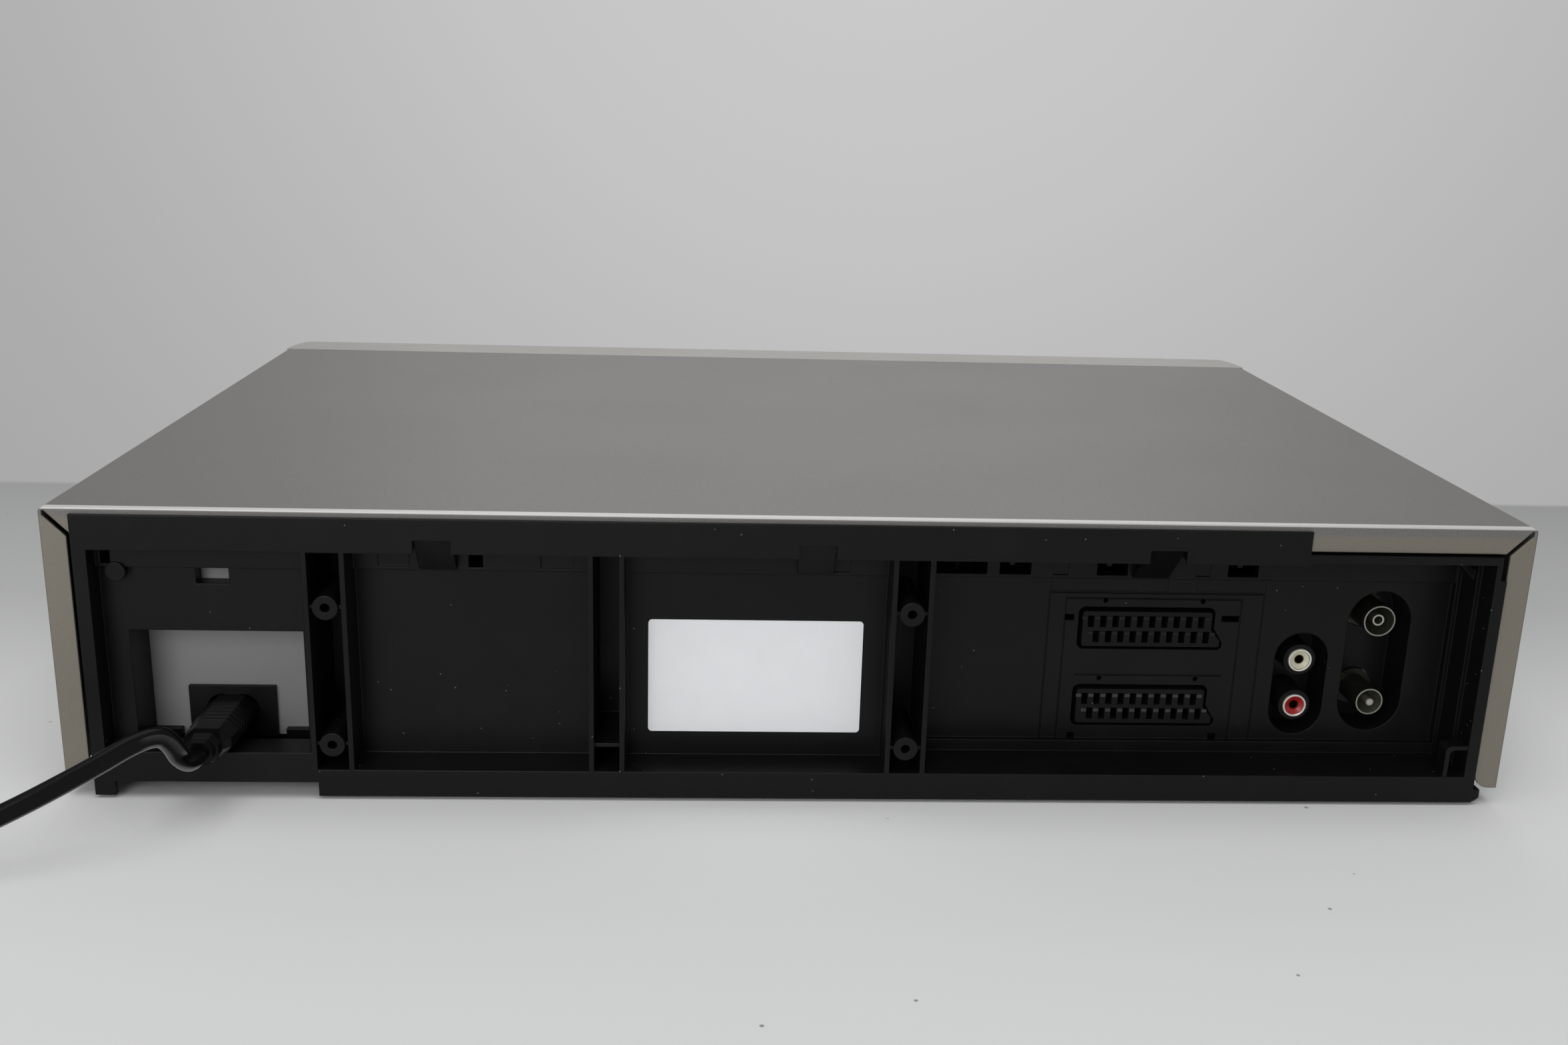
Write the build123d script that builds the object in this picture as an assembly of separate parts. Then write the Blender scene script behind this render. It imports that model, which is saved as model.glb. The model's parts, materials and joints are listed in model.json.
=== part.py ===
from build123d import *
import os
from math import asin, atan2, cos, degrees, hypot, pi, radians, sin

# Video cassette recorder, full width. Millimetres. The front faces -Y, the rear panel faces +Y,
# +Z is up and the feet stand on Z = 0. The origin is the centre of the footprint.

# ---- Cabinet -------------------------------------------------------------------------------
cabinet_width = 431.0     # the depth follows from the deck's layout, below
cover_height = 83.0
base_lip = 4.4            # black base showing below the sheet cover's sides
foot_height = 1.1         # rubber pad below the base
sheet = 0.9               # steel cover
cover_bend_radius = 1.5
side_flange = 7.1         # rear return lips of the cover
top_flange = 7.9
mitre_gap = 1.5
flange_corner_radius = 4.5
flange_set_in = 1.2       # rear face of the flanges behind the rear panel's strip
front_panel_depth = 21.0
cover_clearance = 0.3

# ---- Rear panel ----------------------------------------------------------------------------
panel_wall = 2.0
rib = 1.5
panel_depth = 28.0        # ribs and channels, from the rear plane inwards
right_lip_inset = 8.5     # cabinet side to the panel's edge, mains side
left_lip_inset = 7.7      # cabinet side to the panel's edge, socket side
right_lip = 4.0
left_lip = 3.5
lip_step = 1.9                # outer part of the socket side's lip, cut away at the top
lip_step_height = 67.1
mains_pocket_width = 59.5
channel_width = 9.2
blank_pocket_width = 68.9
narrow_channel_width = 7.5
label_pocket_width = 77.7
mains_wall_depth = 8.0
blank_wall_depth = 13.0
jack_wall_depth = 19.5
channel_wall_depth = 26.0
pocket_floor_height = 4.0     # heights are above the cover's bottom edge
mains_sill_height = 9.4
pocket_ceiling_height = 71.9
ceiling_wall = 2.4
strip_drop = 0.9              # strip's lower edge below the pocket ceilings
strip_height = 10.3           # strip that laps over the cover's rear flange
strip_thickness = 1.1
strip_end_inset = 67.5        # cabinet side to the strip's end, socket side
header_heights = {"mains": 6.8, "blank": 8.2, "label": 8.2, "jack": 10.2}  # raised band on a back wall
jack_ledge_height = 3.6
header_step = 2.0
header_cut_rise = 1.0         # above the band's lower edge
header_cut_height = 4.5
# Cuts in the bands: distance in from the pocket's mains-side edge to the middle, and width.
header_outlines = {"blank": ((11.7, 9.1), (59.2, 9.6)), "label": ((61.5, 9.5),),
                   "jack": ((40.8, 4.6), (84.5, 4.7))}
header_openings = {"mains": ((2.8, 2.7),), "blank": ((35.5, 4.1),),
                   "jack": ((10.6, 15.4), (26.9, 9.6), (56.6, 9.5), (96.9, 9.4))}
header_tab = (1.6, 1.5, 3.6)  # width, thickness and height above the band's lower edge
hook_inset = {"blank": 24.8, "label": 55.7, "jack": 68.0}  # from the pocket's mains-side edge
hook_width = 10.8
hook_thickness = 1.6
hook_notch = 4.0              # above the strip's lower edge
hook_root_rise = 0.8          # root above the band's lower edge
corner_peg = (2.9, 5.6, 63.0)  # radius, inset from the mains pocket's edge, height
corner_peg_depth = 5.0
boss_radius = 3.65
boss_hole_radius = 1.375
boss_heights = (12.0, 54.5)
boss_hole_depth = 15.0
boss_web = 1.0
step_walls = ((1.4, 8.0), (2.8, 17.0))  # the socket pocket narrows: by how much, from what depth
shelf_heights = (11.1, 12.3)  # small shelf across the narrow channel
foot_inset = 2.0              # short foot left at the mains pocket's corner

# ---- Mains side ----------------------------------------------------------------------------
mains_window = (50.0, 35.0)   # width, height
mains_window_inset = 44.5     # cabinet side to its middle
mains_notch = (9.5, 4.9)
mains_notch_height = 58.8
cheek_gap = 2.8               # inlet to the blocks beside it
cheek_height = 7.8
power_cover_depth = 23.3      # rear face of the white cover, inwards from the rear plane
power_cover_wall = 1.5
power_latch_depth = 13.4      # rear face of the block that shows in the notch
power_latch_margin = 2.0      # round the notch
power_cover_top_height = 68.0
power_slot_width = 3.0
power_slot_end = 8.0
power_slot_pitch = 10.0
power_slot_count = 7
inlet_width = 26.0
inlet_height = 14.2
inlet_inset = 43.3            # cabinet side to its middle
inlet_centre_height = 14.3
inlet_proud = 1.5
inlet_body_length = 18.2
inlet_pin_offset = 4.3
inlet_pin_radius = 1.2
connector_width = 15.0
connector_thickness = 8.6
connector_clearance = 0.2
connector_length = 33.6       # outside the inlet
connector_nose = 9.0          # inside the inlet
transformer_core = (42.0, 18.0, 36.0)   # width, depth, height
transformer_coil = (20.0, 32.0, 22.0)
transformer_lift = 7.0        # coil above the board
transformer_depth = 46.0      # behind the white cover's rear face
sink_size = (2.0, 18.0, 32.0)
sink_fin = (4.8, 1.2, 5.3)    # reach, thickness, pitch
sink_fin_count = 4
sink_offset = 24.0            # from the transformer's middle
sink_depth = 68.0             # far end, behind the white cover's rear face
# Upright capacitors of the supply, the widest first: X from the inlet's middle, radius, height.
supply_cans = ((-14.0, 9.0, 34.0), (7.0, 6.5, 24.0))
supply_can_gap = 5.0          # from the transformer's coil
supply_can_room = 5.5         # to the white cover's front wall
inlet_can = (17.0, 22.0, 5.0, 18.0)  # beside the inlet: the same, with its depth behind the cover's face
can_groove = (0.5, 3.0)       # radius and height above the board

# ---- Sockets -------------------------------------------------------------------------------
scart_inset = 106.85          # cabinet side to the sockets' middle
scart_heights = (18.75, 44.2)
scart_width = 45.3
scart_slant = 2.9
scart_height = 13.6
scart_proud = 0.9
scart_body_depth = 16.0
scart_corner = 2.0
scart_nose = 2.2          # height of the slanted end's short upright edge
scart_nose_corner = 1.2
scart_skirt = 1.0         # wall behind the panel, round the groove
scart_groove = 1.15
scart_groove_depth = 9.0
scart_leg_gap = 0.6       # to the panel's ribs
scart_pitch = 3.81
scart_rows = ((2.4, 1.85), (-2.5, -0.05))  # height and shift of each contact row
scart_slots = 10
scart_slot = (1.9, 3.7, 7.0)  # width, height, depth
# Fine plates round the sockets: left, right from the sockets' middle; bottom, top above the cover's edge.
inner_plate = (-27.9, 27.1, 6.2, 54.0)
outer_plate = (-34.7, 32.3, 4.6, 55.8)
plate_divider = (-24.0, 22.5, 28.5, 28.9)
seam_width = 0.4
seam_depth = 0.3
clip_hole_radius = 0.75
clip_hole_rise = 8.9
clip_hole_x = (-15.6, 14.7)
clip_slots = ((-27.4, -21.9, 46.6), (24.1, 26.9, 46.6), (-23.9, -21.6, 7.4), (21.2, 23.4, 7.4))
clip_slot_height = 1.9
name_tag_reach = ((-4.15, 32.05), (-34.55, -13.15))
name_tag_height = 56.3
name_tag_thickness = 0.3
jack_pill = (16.8, 33.7)
jack_pill_inset = 58.5        # cabinet side to its middle
jack_pill_height = 26.4
jack_spacing = 15.2
jack_radius = 3.65
jack_hole_radius = 1.5
jack_barrel_radius = 5.0
jack_barrel_set_in = 1.2      # barrel's face behind the socket wall
jack_insert_set_in = 0.5
jack_insert_depth = 6.0       # behind the recess's floor
jack_block_depth = 12.0
aerial_pill = (19.8, 46.1)
aerial_pill_inset = 35.2      # cabinet side to its middle
aerial_pill_height = 34.1
aerial_spacing = 26.6
aerial_shell_radius = 4.95
aerial_shell_wall = 0.45
aerial_flange_radius = 5.95
aerial_plug_radius = 4.3
aerial_contact_radius = 1.9
aerial_pin_radius = 1.2
aerial_flange = 2.5
aerial_contact_depth = 1.0    # behind the socket's rim
aerial_contact_floor = 3.0
aerial_plug_proud = 0.5       # beyond the socket wall
aerial_pin_proud = 0.4        # beyond the plug's rim
tuner_size = (25.0, 41.7)     # width, depth
tuner_top_gap = 2.0           # above the recess
tuner_corner = 1.0
tuner_dimple = (2.0, 0.4)     # radius, depth
tuner_dimple_heights = (14.0, 30.0, 46.0)
pill_depth = 15.0             # from the socket wall to the tuner's face
pill_wall = 1.5
label_size = (64.5, 36.0)
label_inset = 38.7            # the pocket's mains-side edge to its middle
label_centre_height = 29.7
label_corner_radius = 1.2
label_thickness = 0.2
# Lower and upper corner of the socket pocket: wall, width and height of the arch; size of the gusset.
arch_wall = 1.3
arch_size = (6.6, 10.0)
arch_corner = 2.2
arch_depths = (0.4, 6.0)
gusset_size = (9.0, 7.5)
gusset_thickness = (1.6, 2.0)  # along the top, down the side
gusset_depths = (10.0, 14.0)
skirt_reach = 2.2
skirt_depths = (0.3, 8.0)

# ---- Base and boards -----------------------------------------------------------------------
base_side_inset = 7.5
base_wall = 2.0
base_wall_height = 20.0
base_floor = 2.0
base_ledge = 18.0
rail_width = 14.0
bottom_sheet = 0.8
bottom_plate_lap = 3.0        # on the base's ledge
bottom_slot = (3.0, 26.0)
bottom_slot_count = 9
bottom_slot_pitch = 9.0
bottom_slot_inset = 58.0      # base's side to the middle of the slots
bottom_slot_y = 20.0
foot_radius = 5.5
foot_depth = 1.2              # sunk into the base
foot_end_inset = 24.0
board_thickness = 1.6
board_height = 7.9            # underside of the main board above the base's underside
board_side_gap = 9.0          # base's side to the board's edge
board_front_gap = 3.5
board_rear_gap = 0.5
front_board_height = 39.0
switch_size = 6.0
switch_proud = 0.3
# Chips on the main board: X from the board's socket-side edge, Y, width, depth.
chip_places = ((49.0, 20.0, 24.0, 24.0), (49.0, -30.0, 30.0, 10.0), (139.0, 60.0, 20.0, 20.0),
               (239.0, -60.0, 28.0, 10.0))
chip_thickness = 2.0
# Small capacitors beside the deck: X out from the deck's edge, Y, radius, height.
board_cans = ((26.0, -60.0, 5.0, 12.0), (54.0, -20.0, 4.0, 11.0), (16.0, 40.0, 4.0, 11.0))
post_radius = 3.5
post_edge_gap = 0.5           # board post to the floor's edge
post_hole_radius = 1.3
post_hole_depth = 12.0
screw_radius = 1.4
screw_length = 10.0
screw_head = (3.4, 1.8)       # radius, height
screw_cross = (4.0, 0.8, 1.4)  # length, width, depth of the driver's slots, across two
screw_height = 12.0           # above the cover's edge
screw_front_y = 30.0          # behind the front panel
screw_rear_y = 40.0           # in front of the rear plane
screw_pad = (8.0, 9.0)

# ---- Cassette housing ----------------------------------------------------------------------
cassette_width = 188.0
cassette_height = 25.0
holder_depth = 86.0
holder_sheet = 0.8
holder_side_gap = 1.0
holder_top_gap = 0.8
holder_ledge = 14.0
holder_travel = 60.0
holder_drop = 15.0
holder_up_z = 52.6            # underside of the holder's ledges when it is up
holder_front_gap = 38.0       # from the front of the cabinet, flap swing included
holder_window = (110.0, 40.0, 6.0)    # width, depth, corner
holder_spring = (12.0, 44.0, 1.5, 2.0)  # width, depth, slit across, slit along
holder_spring_x = 76.0
pin_radius = 1.5
pin_proud = 0.6               # beyond the carriage
pin_places = (12.0, 80.0)     # along the holder, from its front edge
side_plate = 1.0
side_plate_gap = 1.4
side_plate_rear = 10.0        # behind the rear pin's last place
side_foot = (9.0, 4.0, 30.0)  # width, gap at the front, gap at the rear
carriage_thickness = 2.0
carriage_gap = 0.8
carriage_margin = 6.0         # round the pins' slots
track_clearance = 0.6

# ---- Tape deck -----------------------------------------------------------------------------
deck_z = 30.0
deck_sheet = 1.5
deck_half_width = 114.0
deck_post_inset = 9.0
deck_flange = 7.0
deck_flange_gaps = (20.0, 40.0)  # from the deck's front and rear edge
deck_rear_gap = 1.9           # deck to the back of the 21-way sockets
reel_inset = 34.5             # reels behind the front edge of the holder when it is in
drum_reach = 94.0             # drum behind the reels
deck_behind_drum = 24.0
reel_spacing = 92.0
reel_gear_radius = 20.0
reel_gear_teeth = 36
reel_gear_thickness = 3.5
reel_gear_lift = 1.8          # above the deck
reel_seat_radius = 15.0
reel_seat_thickness = 1.6
reel_spindle_radius = 4.6
reel_spindle_height = 14.0
reel_axle_height = 14.0
reel_fin = (3.0, 2.0, 4.0)    # depth, width, distance below the spindle's top
drum_radius = 31.0
drum_tilt = 5.6
drum_half_height = 14.5
drum_gap = 0.6
drum_mid_z = 51.5
drum_shaft_radius = 3.0
drum_shaft_proud = 3.0
drum_ledge = 0.8
drum_ledge_height = 3.0
drum_base_step = 7.0
drum_foot = (40.0, 8.0, 30.0, 4.0)  # width, ahead of and behind the axis, height
drum_rim = 5.0
drum_dish = 3.0
drum_hub = (12.0, 4.0)        # radius, height
drum_screw = (8.0, 1.3, 2.0)  # from the axis, radius, length
head_window = (4.0, 5.0, 2.4)  # depth, width, height
head_bracket = (9.0, 10.0, 4.0)  # depth, height, wider than the head
head_size = (7.0, 17.0, 2.0)  # depth, height, corner
head_drop = 1.5               # middle of a head below the drum's
guide_radius = 45.0           # arc that each guide carriage runs on
guide_start_x = 30.0          # carriage in the cassette's mouth, level with the capstan
guide_end_x = 38.0            # carriage behind the drum
guide_end_reach = 15.0        # behind the drum's axis
guide_slot_width = 5.0
guide_clearance = 0.4
guide_base = (4.6, 4.0)       # radius, height
guide_clip = (3.8, 1.6)
guide_roller = (2.8, 0.8, 9.0)  # radius, shift in X, rise above the drum's middle
guide_slant = (1.1, 2.4, 8.0, 22.0)  # radius, shift in X, lean, length
capstan_x = 50.0
capstan_reach = 49.0          # behind the reels
capstan_radius = 1.5
capstan_top_z = 58.0
capstan_bearing_radius = 4.0
flywheel_radius = 27.0
flywheel_thickness = 7.0
flywheel_rim = 5.0
flywheel_dish = 2.0
flywheel_hub_radius = 6.0
flywheel_top_z = 24.0
pulley_thickness = 3.0
capstan_pulley_radius = 7.0
reel_pulley_radius = 10.0
reel_pulley_reach = 25.0      # behind the reels
belt_thickness = 1.2
belt_margin = 0.6             # pulley showing above and below the belt
running_gap = 0.05
pinch_pivot_x = 85.0
pinch_pivot_reach = 12.0      # behind the capstan
pinch_radius = 6.5
pinch_reach = 30.3
pinch_swing = 25.0
pinch_gap = 0.3
pinch_axle_radius = 2.0
pinch_pin_radius = 1.5
pinch_arm_lift = 5.0          # above the deck
pinch_arm_thickness = 2.0
lever_width = 8.0
idler_reach = 22.0
idler_radius = 10.5
idler_teeth = 20
idler_thickness = 3.0
pinion_radius = 11.2
tension_pivot_x = -76.0
tension_pivot_reach = 6.0     # behind the capstan
tension_reach = 27.0
tension_axle_radius = 1.5
tension_arm_lift = 3.0        # above the deck
tension_arm_width = 6.0
tension_arm_thickness = 1.2
tension_post_height = 7.0     # above the drum's middle
tension_post_radius = 1.8
cam_x = -76.0
cam_radius = 22.0
cam_overhang = 1.0            # beyond the deck's rear edge
cam_teeth = 40
cam_z = 38.5
cam_thickness = 5.0
cam_axle_radius = 2.0
cam_hub_radius = 4.5
cam_groove = (15.0, 12.0, 1.5, 2.0)  # outer and inner radius, shift, depth
worm_radius = 3.2
worm_length = 22.0
worm_ridges = 5
worm_ridge = 1.2
worm_gap = 0.3                # worm's ridges to the cam's teeth
motor_radius = 9.2
motor_length = 25.0
motor_gap = 4.0               # motor to worm
motor_shaft_radius = 1.0
motor_foot_inset = 3.0
motor_foot_lap = 2.0
tooth_depth = 1.6
# Cut-outs in the deck: X, Y behind the holder's front edge, width, depth.
deck_cutouts = ((0.0, 25.5, 120.0, 32.0), (-64.0, 115.5, 16.0, 12.0))
deck_cutout_corner = 4.0
cam_axle_proud = 1.5
pinch_axle_height = 12.0
tension_axle_height = 9.0
capstan_bearing = (4.0, 8.0)   # below and above the deck
tape_post_height = 8.0        # above the drum's middle
tape_post_radius = 2.5
# Fixed tape posts and heads: X, Y behind the drum's axis.
tape_posts = ((-57.0, -15.0), (72.0, 9.0))
erase_head_place = (-62.0, -23.0, -45.0, 8.0)    # with its turn and width
control_head_place = (63.0, -3.0, 60.0, 10.0)

# ---- Front -------------------------------------------------------------------------------
front_wall = 2.5
front_corner_radius = 3.0
slot_clearance = 4.0
flap_height = 32.8
flap_gap = 0.6
flap_thickness = 2.2
flap_pivot_radius = 1.6
window_size = (132.0, 26.0)
window_centre = (0.0, 30.0)
window_thickness = 1.5
button_travel = 1.0
button_clearance = 0.25
button_row_z = 36.0
button_size = (20.0, 8.0)
button_pitch = 24.0
first_button_inset = 97.5     # cabinet side to the first transport button
play_button_size = (20.0, 11.0)
power_button_radius = 7.0
power_button_inset = 33.5
eject_button_inset = 75.5
record_button_z = 20.0
stem_radius = 1.8
button_flange = 1.2
button_gap = 0.1              # stem to its switch when pressed
button_edge = 0.5
button_corner = 2.0
display_size = (116.0, 22.0, 6.0)
display_tip = (1.8, 0.6, 3.0)  # base radius, end radius, length

# ---- Mains lead ----------------------------------------------------------------------------
cord_diameter = 6.0
coil_turns_across = 3
coil_turns_up = 2
coil_mean_radius = 36.0
coil_centre = (304.0, 160.0)
coil_part_turn = 0.75         # the last turn stops short, where the plug's end leaves
connector_core = 0.6          # share of the connector's length before its strain relief
# Width, height and corner radius of the connector at its face, at the end of its grip and at its end.
connector_sections = ((15.4, 8.8, 2.0), (14.0, 8.6, 2.0), (8.0, 7.0, 2.6))
relief_length = 20.0
relief_sections = ((6.0, 6.0, 2.6), (13.0, 10.0, 3.0))
plug_length = 35.0
plug_bevel = 4.0
plug_size = (24.0, 13.6)
plug_pin_radius = 2.0
plug_pin_length = 19.0
plug_pin_spacing = 18.6

# ---- Derived places ------------------------------------------------------------------------
half_width = cabinet_width / 2
socket_reach = jack_wall_depth - scart_proud + scart_body_depth
cabinet_depth = (holder_front_gap + holder_travel + reel_inset + drum_reach + deck_behind_drum + deck_rear_gap
                 + socket_reach)
rear_y = cabinet_depth / 2
front_y = -rear_y
seam_y = front_y + front_panel_depth
base_z = foot_height
cover_z = base_z + base_lip
top_z = cover_z + cover_height
flange_y = rear_y - flange_set_in
panel_right_x = half_width - right_lip_inset
panel_left_x = -(half_width - left_lip_inset)
pocket_floor_z = cover_z + pocket_floor_height
pocket_ceiling_z = cover_z + pocket_ceiling_height
strip_low_z = pocket_ceiling_z - strip_drop
hook_top_z = strip_low_z + hook_notch
lower_socket_top_z = cover_z + scart_heights[0] + scart_height / 2 + scart_skirt
supply_can_depth = transformer_depth + transformer_coil[1] / 2 + supply_can_gap + supply_cans[0][1]
power_cover_length = supply_can_depth + supply_cans[0][1] + supply_can_room + power_cover_wall
panel_inner_y = rear_y - panel_depth
tuner_y = rear_y - jack_wall_depth - pill_depth
base_half_width = half_width - base_side_inset
board_half_width = base_half_width - board_side_gap
mains_window_x = half_width - mains_window_inset
inlet_x = half_width - inlet_inset
first_button_x = half_width - first_button_inset
scart_x = scart_inset - half_width
jack_pill_x = jack_pill_inset - half_width
aerial_pill_x = aerial_pill_inset - half_width
strip_left_x = strip_end_inset - half_width
power_button_x = power_button_inset - half_width
eject_button_x = eject_button_inset - half_width
base_floor_z = base_z + base_floor
bottom_plate_z = base_floor_z + bottom_sheet
board_z = base_z + board_height
board_top_z = board_z + board_thickness
deck_top_z = deck_z + deck_sheet
holder_half_width = cassette_width / 2 + holder_side_gap + holder_sheet
holder_outer_height = cassette_height + holder_top_gap + 2 * holder_sheet
holder_front_y = front_y + holder_front_gap
holder_rear_y = holder_front_y + holder_depth
deck_front_y = holder_front_y
reel_y = holder_front_y + holder_travel + reel_inset
drum_y = reel_y + drum_reach
deck_rear_y = drum_y + deck_behind_drum
capstan_y = reel_y + capstan_reach
reel_pulley_y = reel_y + reel_pulley_reach
guide_start = (guide_start_x, capstan_y)
guide_end = (guide_end_x, drum_y + guide_end_reach)
pinch_pivot = (pinch_pivot_x, capstan_y + pinch_pivot_reach)
tension_pivot = (tension_pivot_x, capstan_y + tension_pivot_reach)
cam_y = deck_rear_y + cam_overhang - cam_radius
motor_front_y = cam_y - worm_length / 2 - motor_gap - motor_length
side_plate_x = holder_half_width + side_plate_gap
carriage_x = side_plate_x + side_plate + carriage_gap
pin_z = holder_up_z + holder_outer_height / 2
slot_z0 = holder_up_z - holder_sheet
slot_half_width = cassette_width / 2 + slot_clearance
pulley_z0 = flywheel_top_z - flywheel_thickness - pulley_thickness
gear_z0 = deck_top_z + reel_gear_lift


# ---- Helpers -------------------------------------------------------------------------------
def block(x0, x1, y0, y1, z0, z1):
    """A box between two corners."""
    centre = Pos((x0 + x1) / 2, (y0 + y1) / 2, (z0 + z1) / 2)
    return centre * Box(x1 - x0, y1 - y0, z1 - z0)


def inset_block(x0, x1, depth0, depth1, z0, z1):
    """A box whose Y places are depths inwards from the rear plane."""
    return block(x0, x1, rear_y - depth1, rear_y - depth0, z0, z1)


def rod(x, y, z0, z1, radius):
    """An upright round bar."""
    return Pos(x, y, (z0 + z1) / 2) * Cylinder(radius, z1 - z0)


def along_x(sketch, x0, x1):
    """Extrude a sketch drawn in Y and Z from x0 to x1."""
    plane = Plane(origin=(x0, 0, 0), x_dir=(0, 1, 0), z_dir=(1, 0, 0))
    return extrude(plane * sketch, amount=x1 - x0)


def along_y(sketch, y0, y1):
    """Extrude a sketch drawn in X and Z from y0 to y1."""
    plane = Plane(origin=(0, y1, 0), x_dir=(1, 0, 0), z_dir=(0, -1, 0))
    return extrude(plane * sketch, amount=y1 - y0)


def along_z(sketch, z0, z1):
    """Extrude a sketch drawn in X and Y from z0 to z1."""
    return extrude(Plane.XY.offset(z0) * sketch, amount=z1 - z0)


def outline(*points):
    """A face with straight sides through the points."""
    return make_face(Polyline(*points, close=True))


def gear_outline(teeth, radius):
    """A toothed disc with straight-sided teeth, tip radius given."""
    root = radius - tooth_depth
    step = 2 * pi / teeth
    points = []
    for tooth in range(teeth):
        for share, reach in ((0.0, root), (0.3, root), (0.45, radius), (0.85, radius)):
            angle = step * (tooth + share)
            points.append((reach * cos(angle), reach * sin(angle)))
    return outline(*points)


def mirrored(part):
    """The same part on the other side of the YZ plane."""
    return mirror(part, about=Plane.YZ)


# ---- Rear panel layout ---------------------------------------------------------------------
def pocket_layout():
    """Left and right edge and wall depth of each rear pocket, from the mains side across."""
    rows = (
        ("mains", mains_pocket_width, mains_wall_depth),
        ("mains_channel", channel_width, channel_wall_depth),
        ("blank", blank_pocket_width, blank_wall_depth),
        ("narrow_channel", narrow_channel_width, channel_wall_depth),
        ("label", label_pocket_width, blank_wall_depth),
        ("jack_channel", channel_width, channel_wall_depth),
    )
    layout = {}
    right = panel_right_x - right_lip
    for name, width, depth in rows:
        layout[name] = (right - width, right, depth)
        right -= width + rib
    layout["jack"] = (panel_left_x + left_lip, right, jack_wall_depth)
    return layout


pockets = pocket_layout()


def slot_pill(size):
    """An upright slot with round ends, width and height given."""
    return Rot(0, 0, 90) * SlotOverall(size[1], size[0])


def pocket_floor(name):
    """Height of a pocket's floor: the mains pocket has a raised sill."""
    return cover_z + (mains_sill_height if name == "mains" else pocket_floor_height)


def panel_shell():
    """Ribs, floor, ceiling and back walls left between the pockets and the hollows behind."""
    ceiling_top = pocket_ceiling_z + ceiling_wall
    solid = inset_block(panel_left_x, panel_right_x, 0, panel_depth, base_z, ceiling_top)
    for name, (left, right, depth) in pockets.items():
        floor = pocket_floor(name)
        solid -= inset_block(left, right, 0, depth, floor, pocket_ceiling_z)
        back = depth + panel_wall
        if back < panel_depth:
            solid -= inset_block(left, right, back, panel_depth, pocket_floor_z, pocket_ceiling_z)
    under_floor = pocket_floor_z - panel_wall
    left = panel_left_x + panel_wall
    right = panel_right_x - panel_wall
    solid -= inset_block(left, right, panel_wall, panel_depth, base_z, under_floor)
    step_z = cover_z + lip_step_height
    solid -= inset_block(panel_left_x, panel_left_x + lip_step, 0, panel_depth, step_z, ceiling_top)
    return solid


def panel_step_walls():
    """Two steps that narrow the socket pocket towards its back wall."""
    left = pockets["jack"][0]
    steps = [inset_block(left, left + width, depth, jack_wall_depth, pocket_floor_z, pocket_ceiling_z)
             for width, depth in step_walls]
    return steps[0] + steps[1]


def in_pocket(name, inset):
    """X at a distance in from the pocket's mains-side edge."""
    return pockets[name][1] - inset


def panel_strip():
    """The strip that laps over the cover's rear flange, with notches for the snap hooks."""
    top = strip_low_z + strip_height
    strip = inset_block(strip_left_x, panel_right_x, 0, strip_thickness, strip_low_z, top)
    half = hook_width / 2
    for name in hook_inset:
        x, _ = hook_place(name)
        strip -= inset_block(x - half, x + half, 0, strip_thickness, strip_low_z, hook_top_z)
    return strip


def hook_place(name):
    """Middle X of a pocket's hook and the depth of the band that it grows from."""
    return in_pocket(name, hook_inset[name]), pockets[name][2] - header_step


def panel_hook(name):
    """A sloping spring tongue that snaps under the cover's flange."""
    x, depth = hook_place(name)
    tip = rear_y - strip_thickness - cover_clearance
    root = rear_y - depth
    low = header_low_z(name) + hook_root_rise
    tongue = outline((tip, hook_top_z), (tip - hook_thickness, hook_top_z), (root, low),
                     (root + hook_thickness, low))
    return along_x(tongue, x - hook_width / 2, x + hook_width / 2)


def hook_space(name):
    """The opening in the pocket's ceiling that a hook stands in."""
    x, depth = hook_place(name)
    half = hook_width / 2
    return inset_block(x - half, x + half, 0, depth, pocket_ceiling_z - 1, hook_top_z)


def header_low_z(name):
    """Lower edge of the raised band on a pocket's back wall."""
    return strip_low_z - header_heights[name]


def panel_header(name):
    """The raised band along the top of a pocket's back wall."""
    left, right, depth = pockets[name]
    return inset_block(left, right, depth - header_step, depth, header_low_z(name), pocket_ceiling_z)


def header_cuts():
    """Openings and knock-out outlines in the header bands."""
    cuts = []
    for rows, reach in ((header_openings, header_step + panel_wall + 1), (header_outlines, seam_width)):
        for name, places in rows.items():
            start = pockets[name][2] - header_step
            low = header_low_z(name) + header_cut_rise
            for inset, width in places:
                x = in_pocket(name, inset)
                cuts.append(inset_block(x - width / 2, x + width / 2, start - 1, start + reach,
                                        low, low + header_cut_height))
    return cuts


def header_tabs():
    """Short latches that hang in the socket pocket's openings."""
    width, thickness, rise = header_tab
    start = jack_wall_depth - header_step / 2
    low = header_low_z("jack") + rise
    places = [in_pocket("jack", inset) for inset, _ in header_openings["jack"][1:]]
    return [inset_block(x, x + width, start, start + thickness, low, pocket_ceiling_z) for x in places]


def boss_places():
    """X and Z of the four screw bosses in the two wide channels."""
    places = []
    for name in ("mains_channel", "jack_channel"):
        left, right, _ = pockets[name]
        for height in boss_heights:
            places.append(((left + right) / 2, cover_z + height))
    return places


def panel_bosses():
    """Screw bosses with a web to each neighbouring rib."""
    bosses = []
    for x, z in boss_places():
        tube = along_y(Pos(x, z) * Circle(boss_radius), rear_y - channel_wall_depth, rear_y)
        half = channel_width / 2
        web = inset_block(x - half, x + half, boss_web, channel_wall_depth,
                          z - boss_web / 2, z + boss_web / 2)
        bosses.append(tube + web)
    return bosses


def boss_holes():
    """Blind holes of the screw bosses."""
    holes = []
    for x, z in boss_places():
        holes.append(along_y(Pos(x, z) * Circle(boss_hole_radius), rear_y - boss_hole_depth, rear_y + 1))
    return holes


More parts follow.
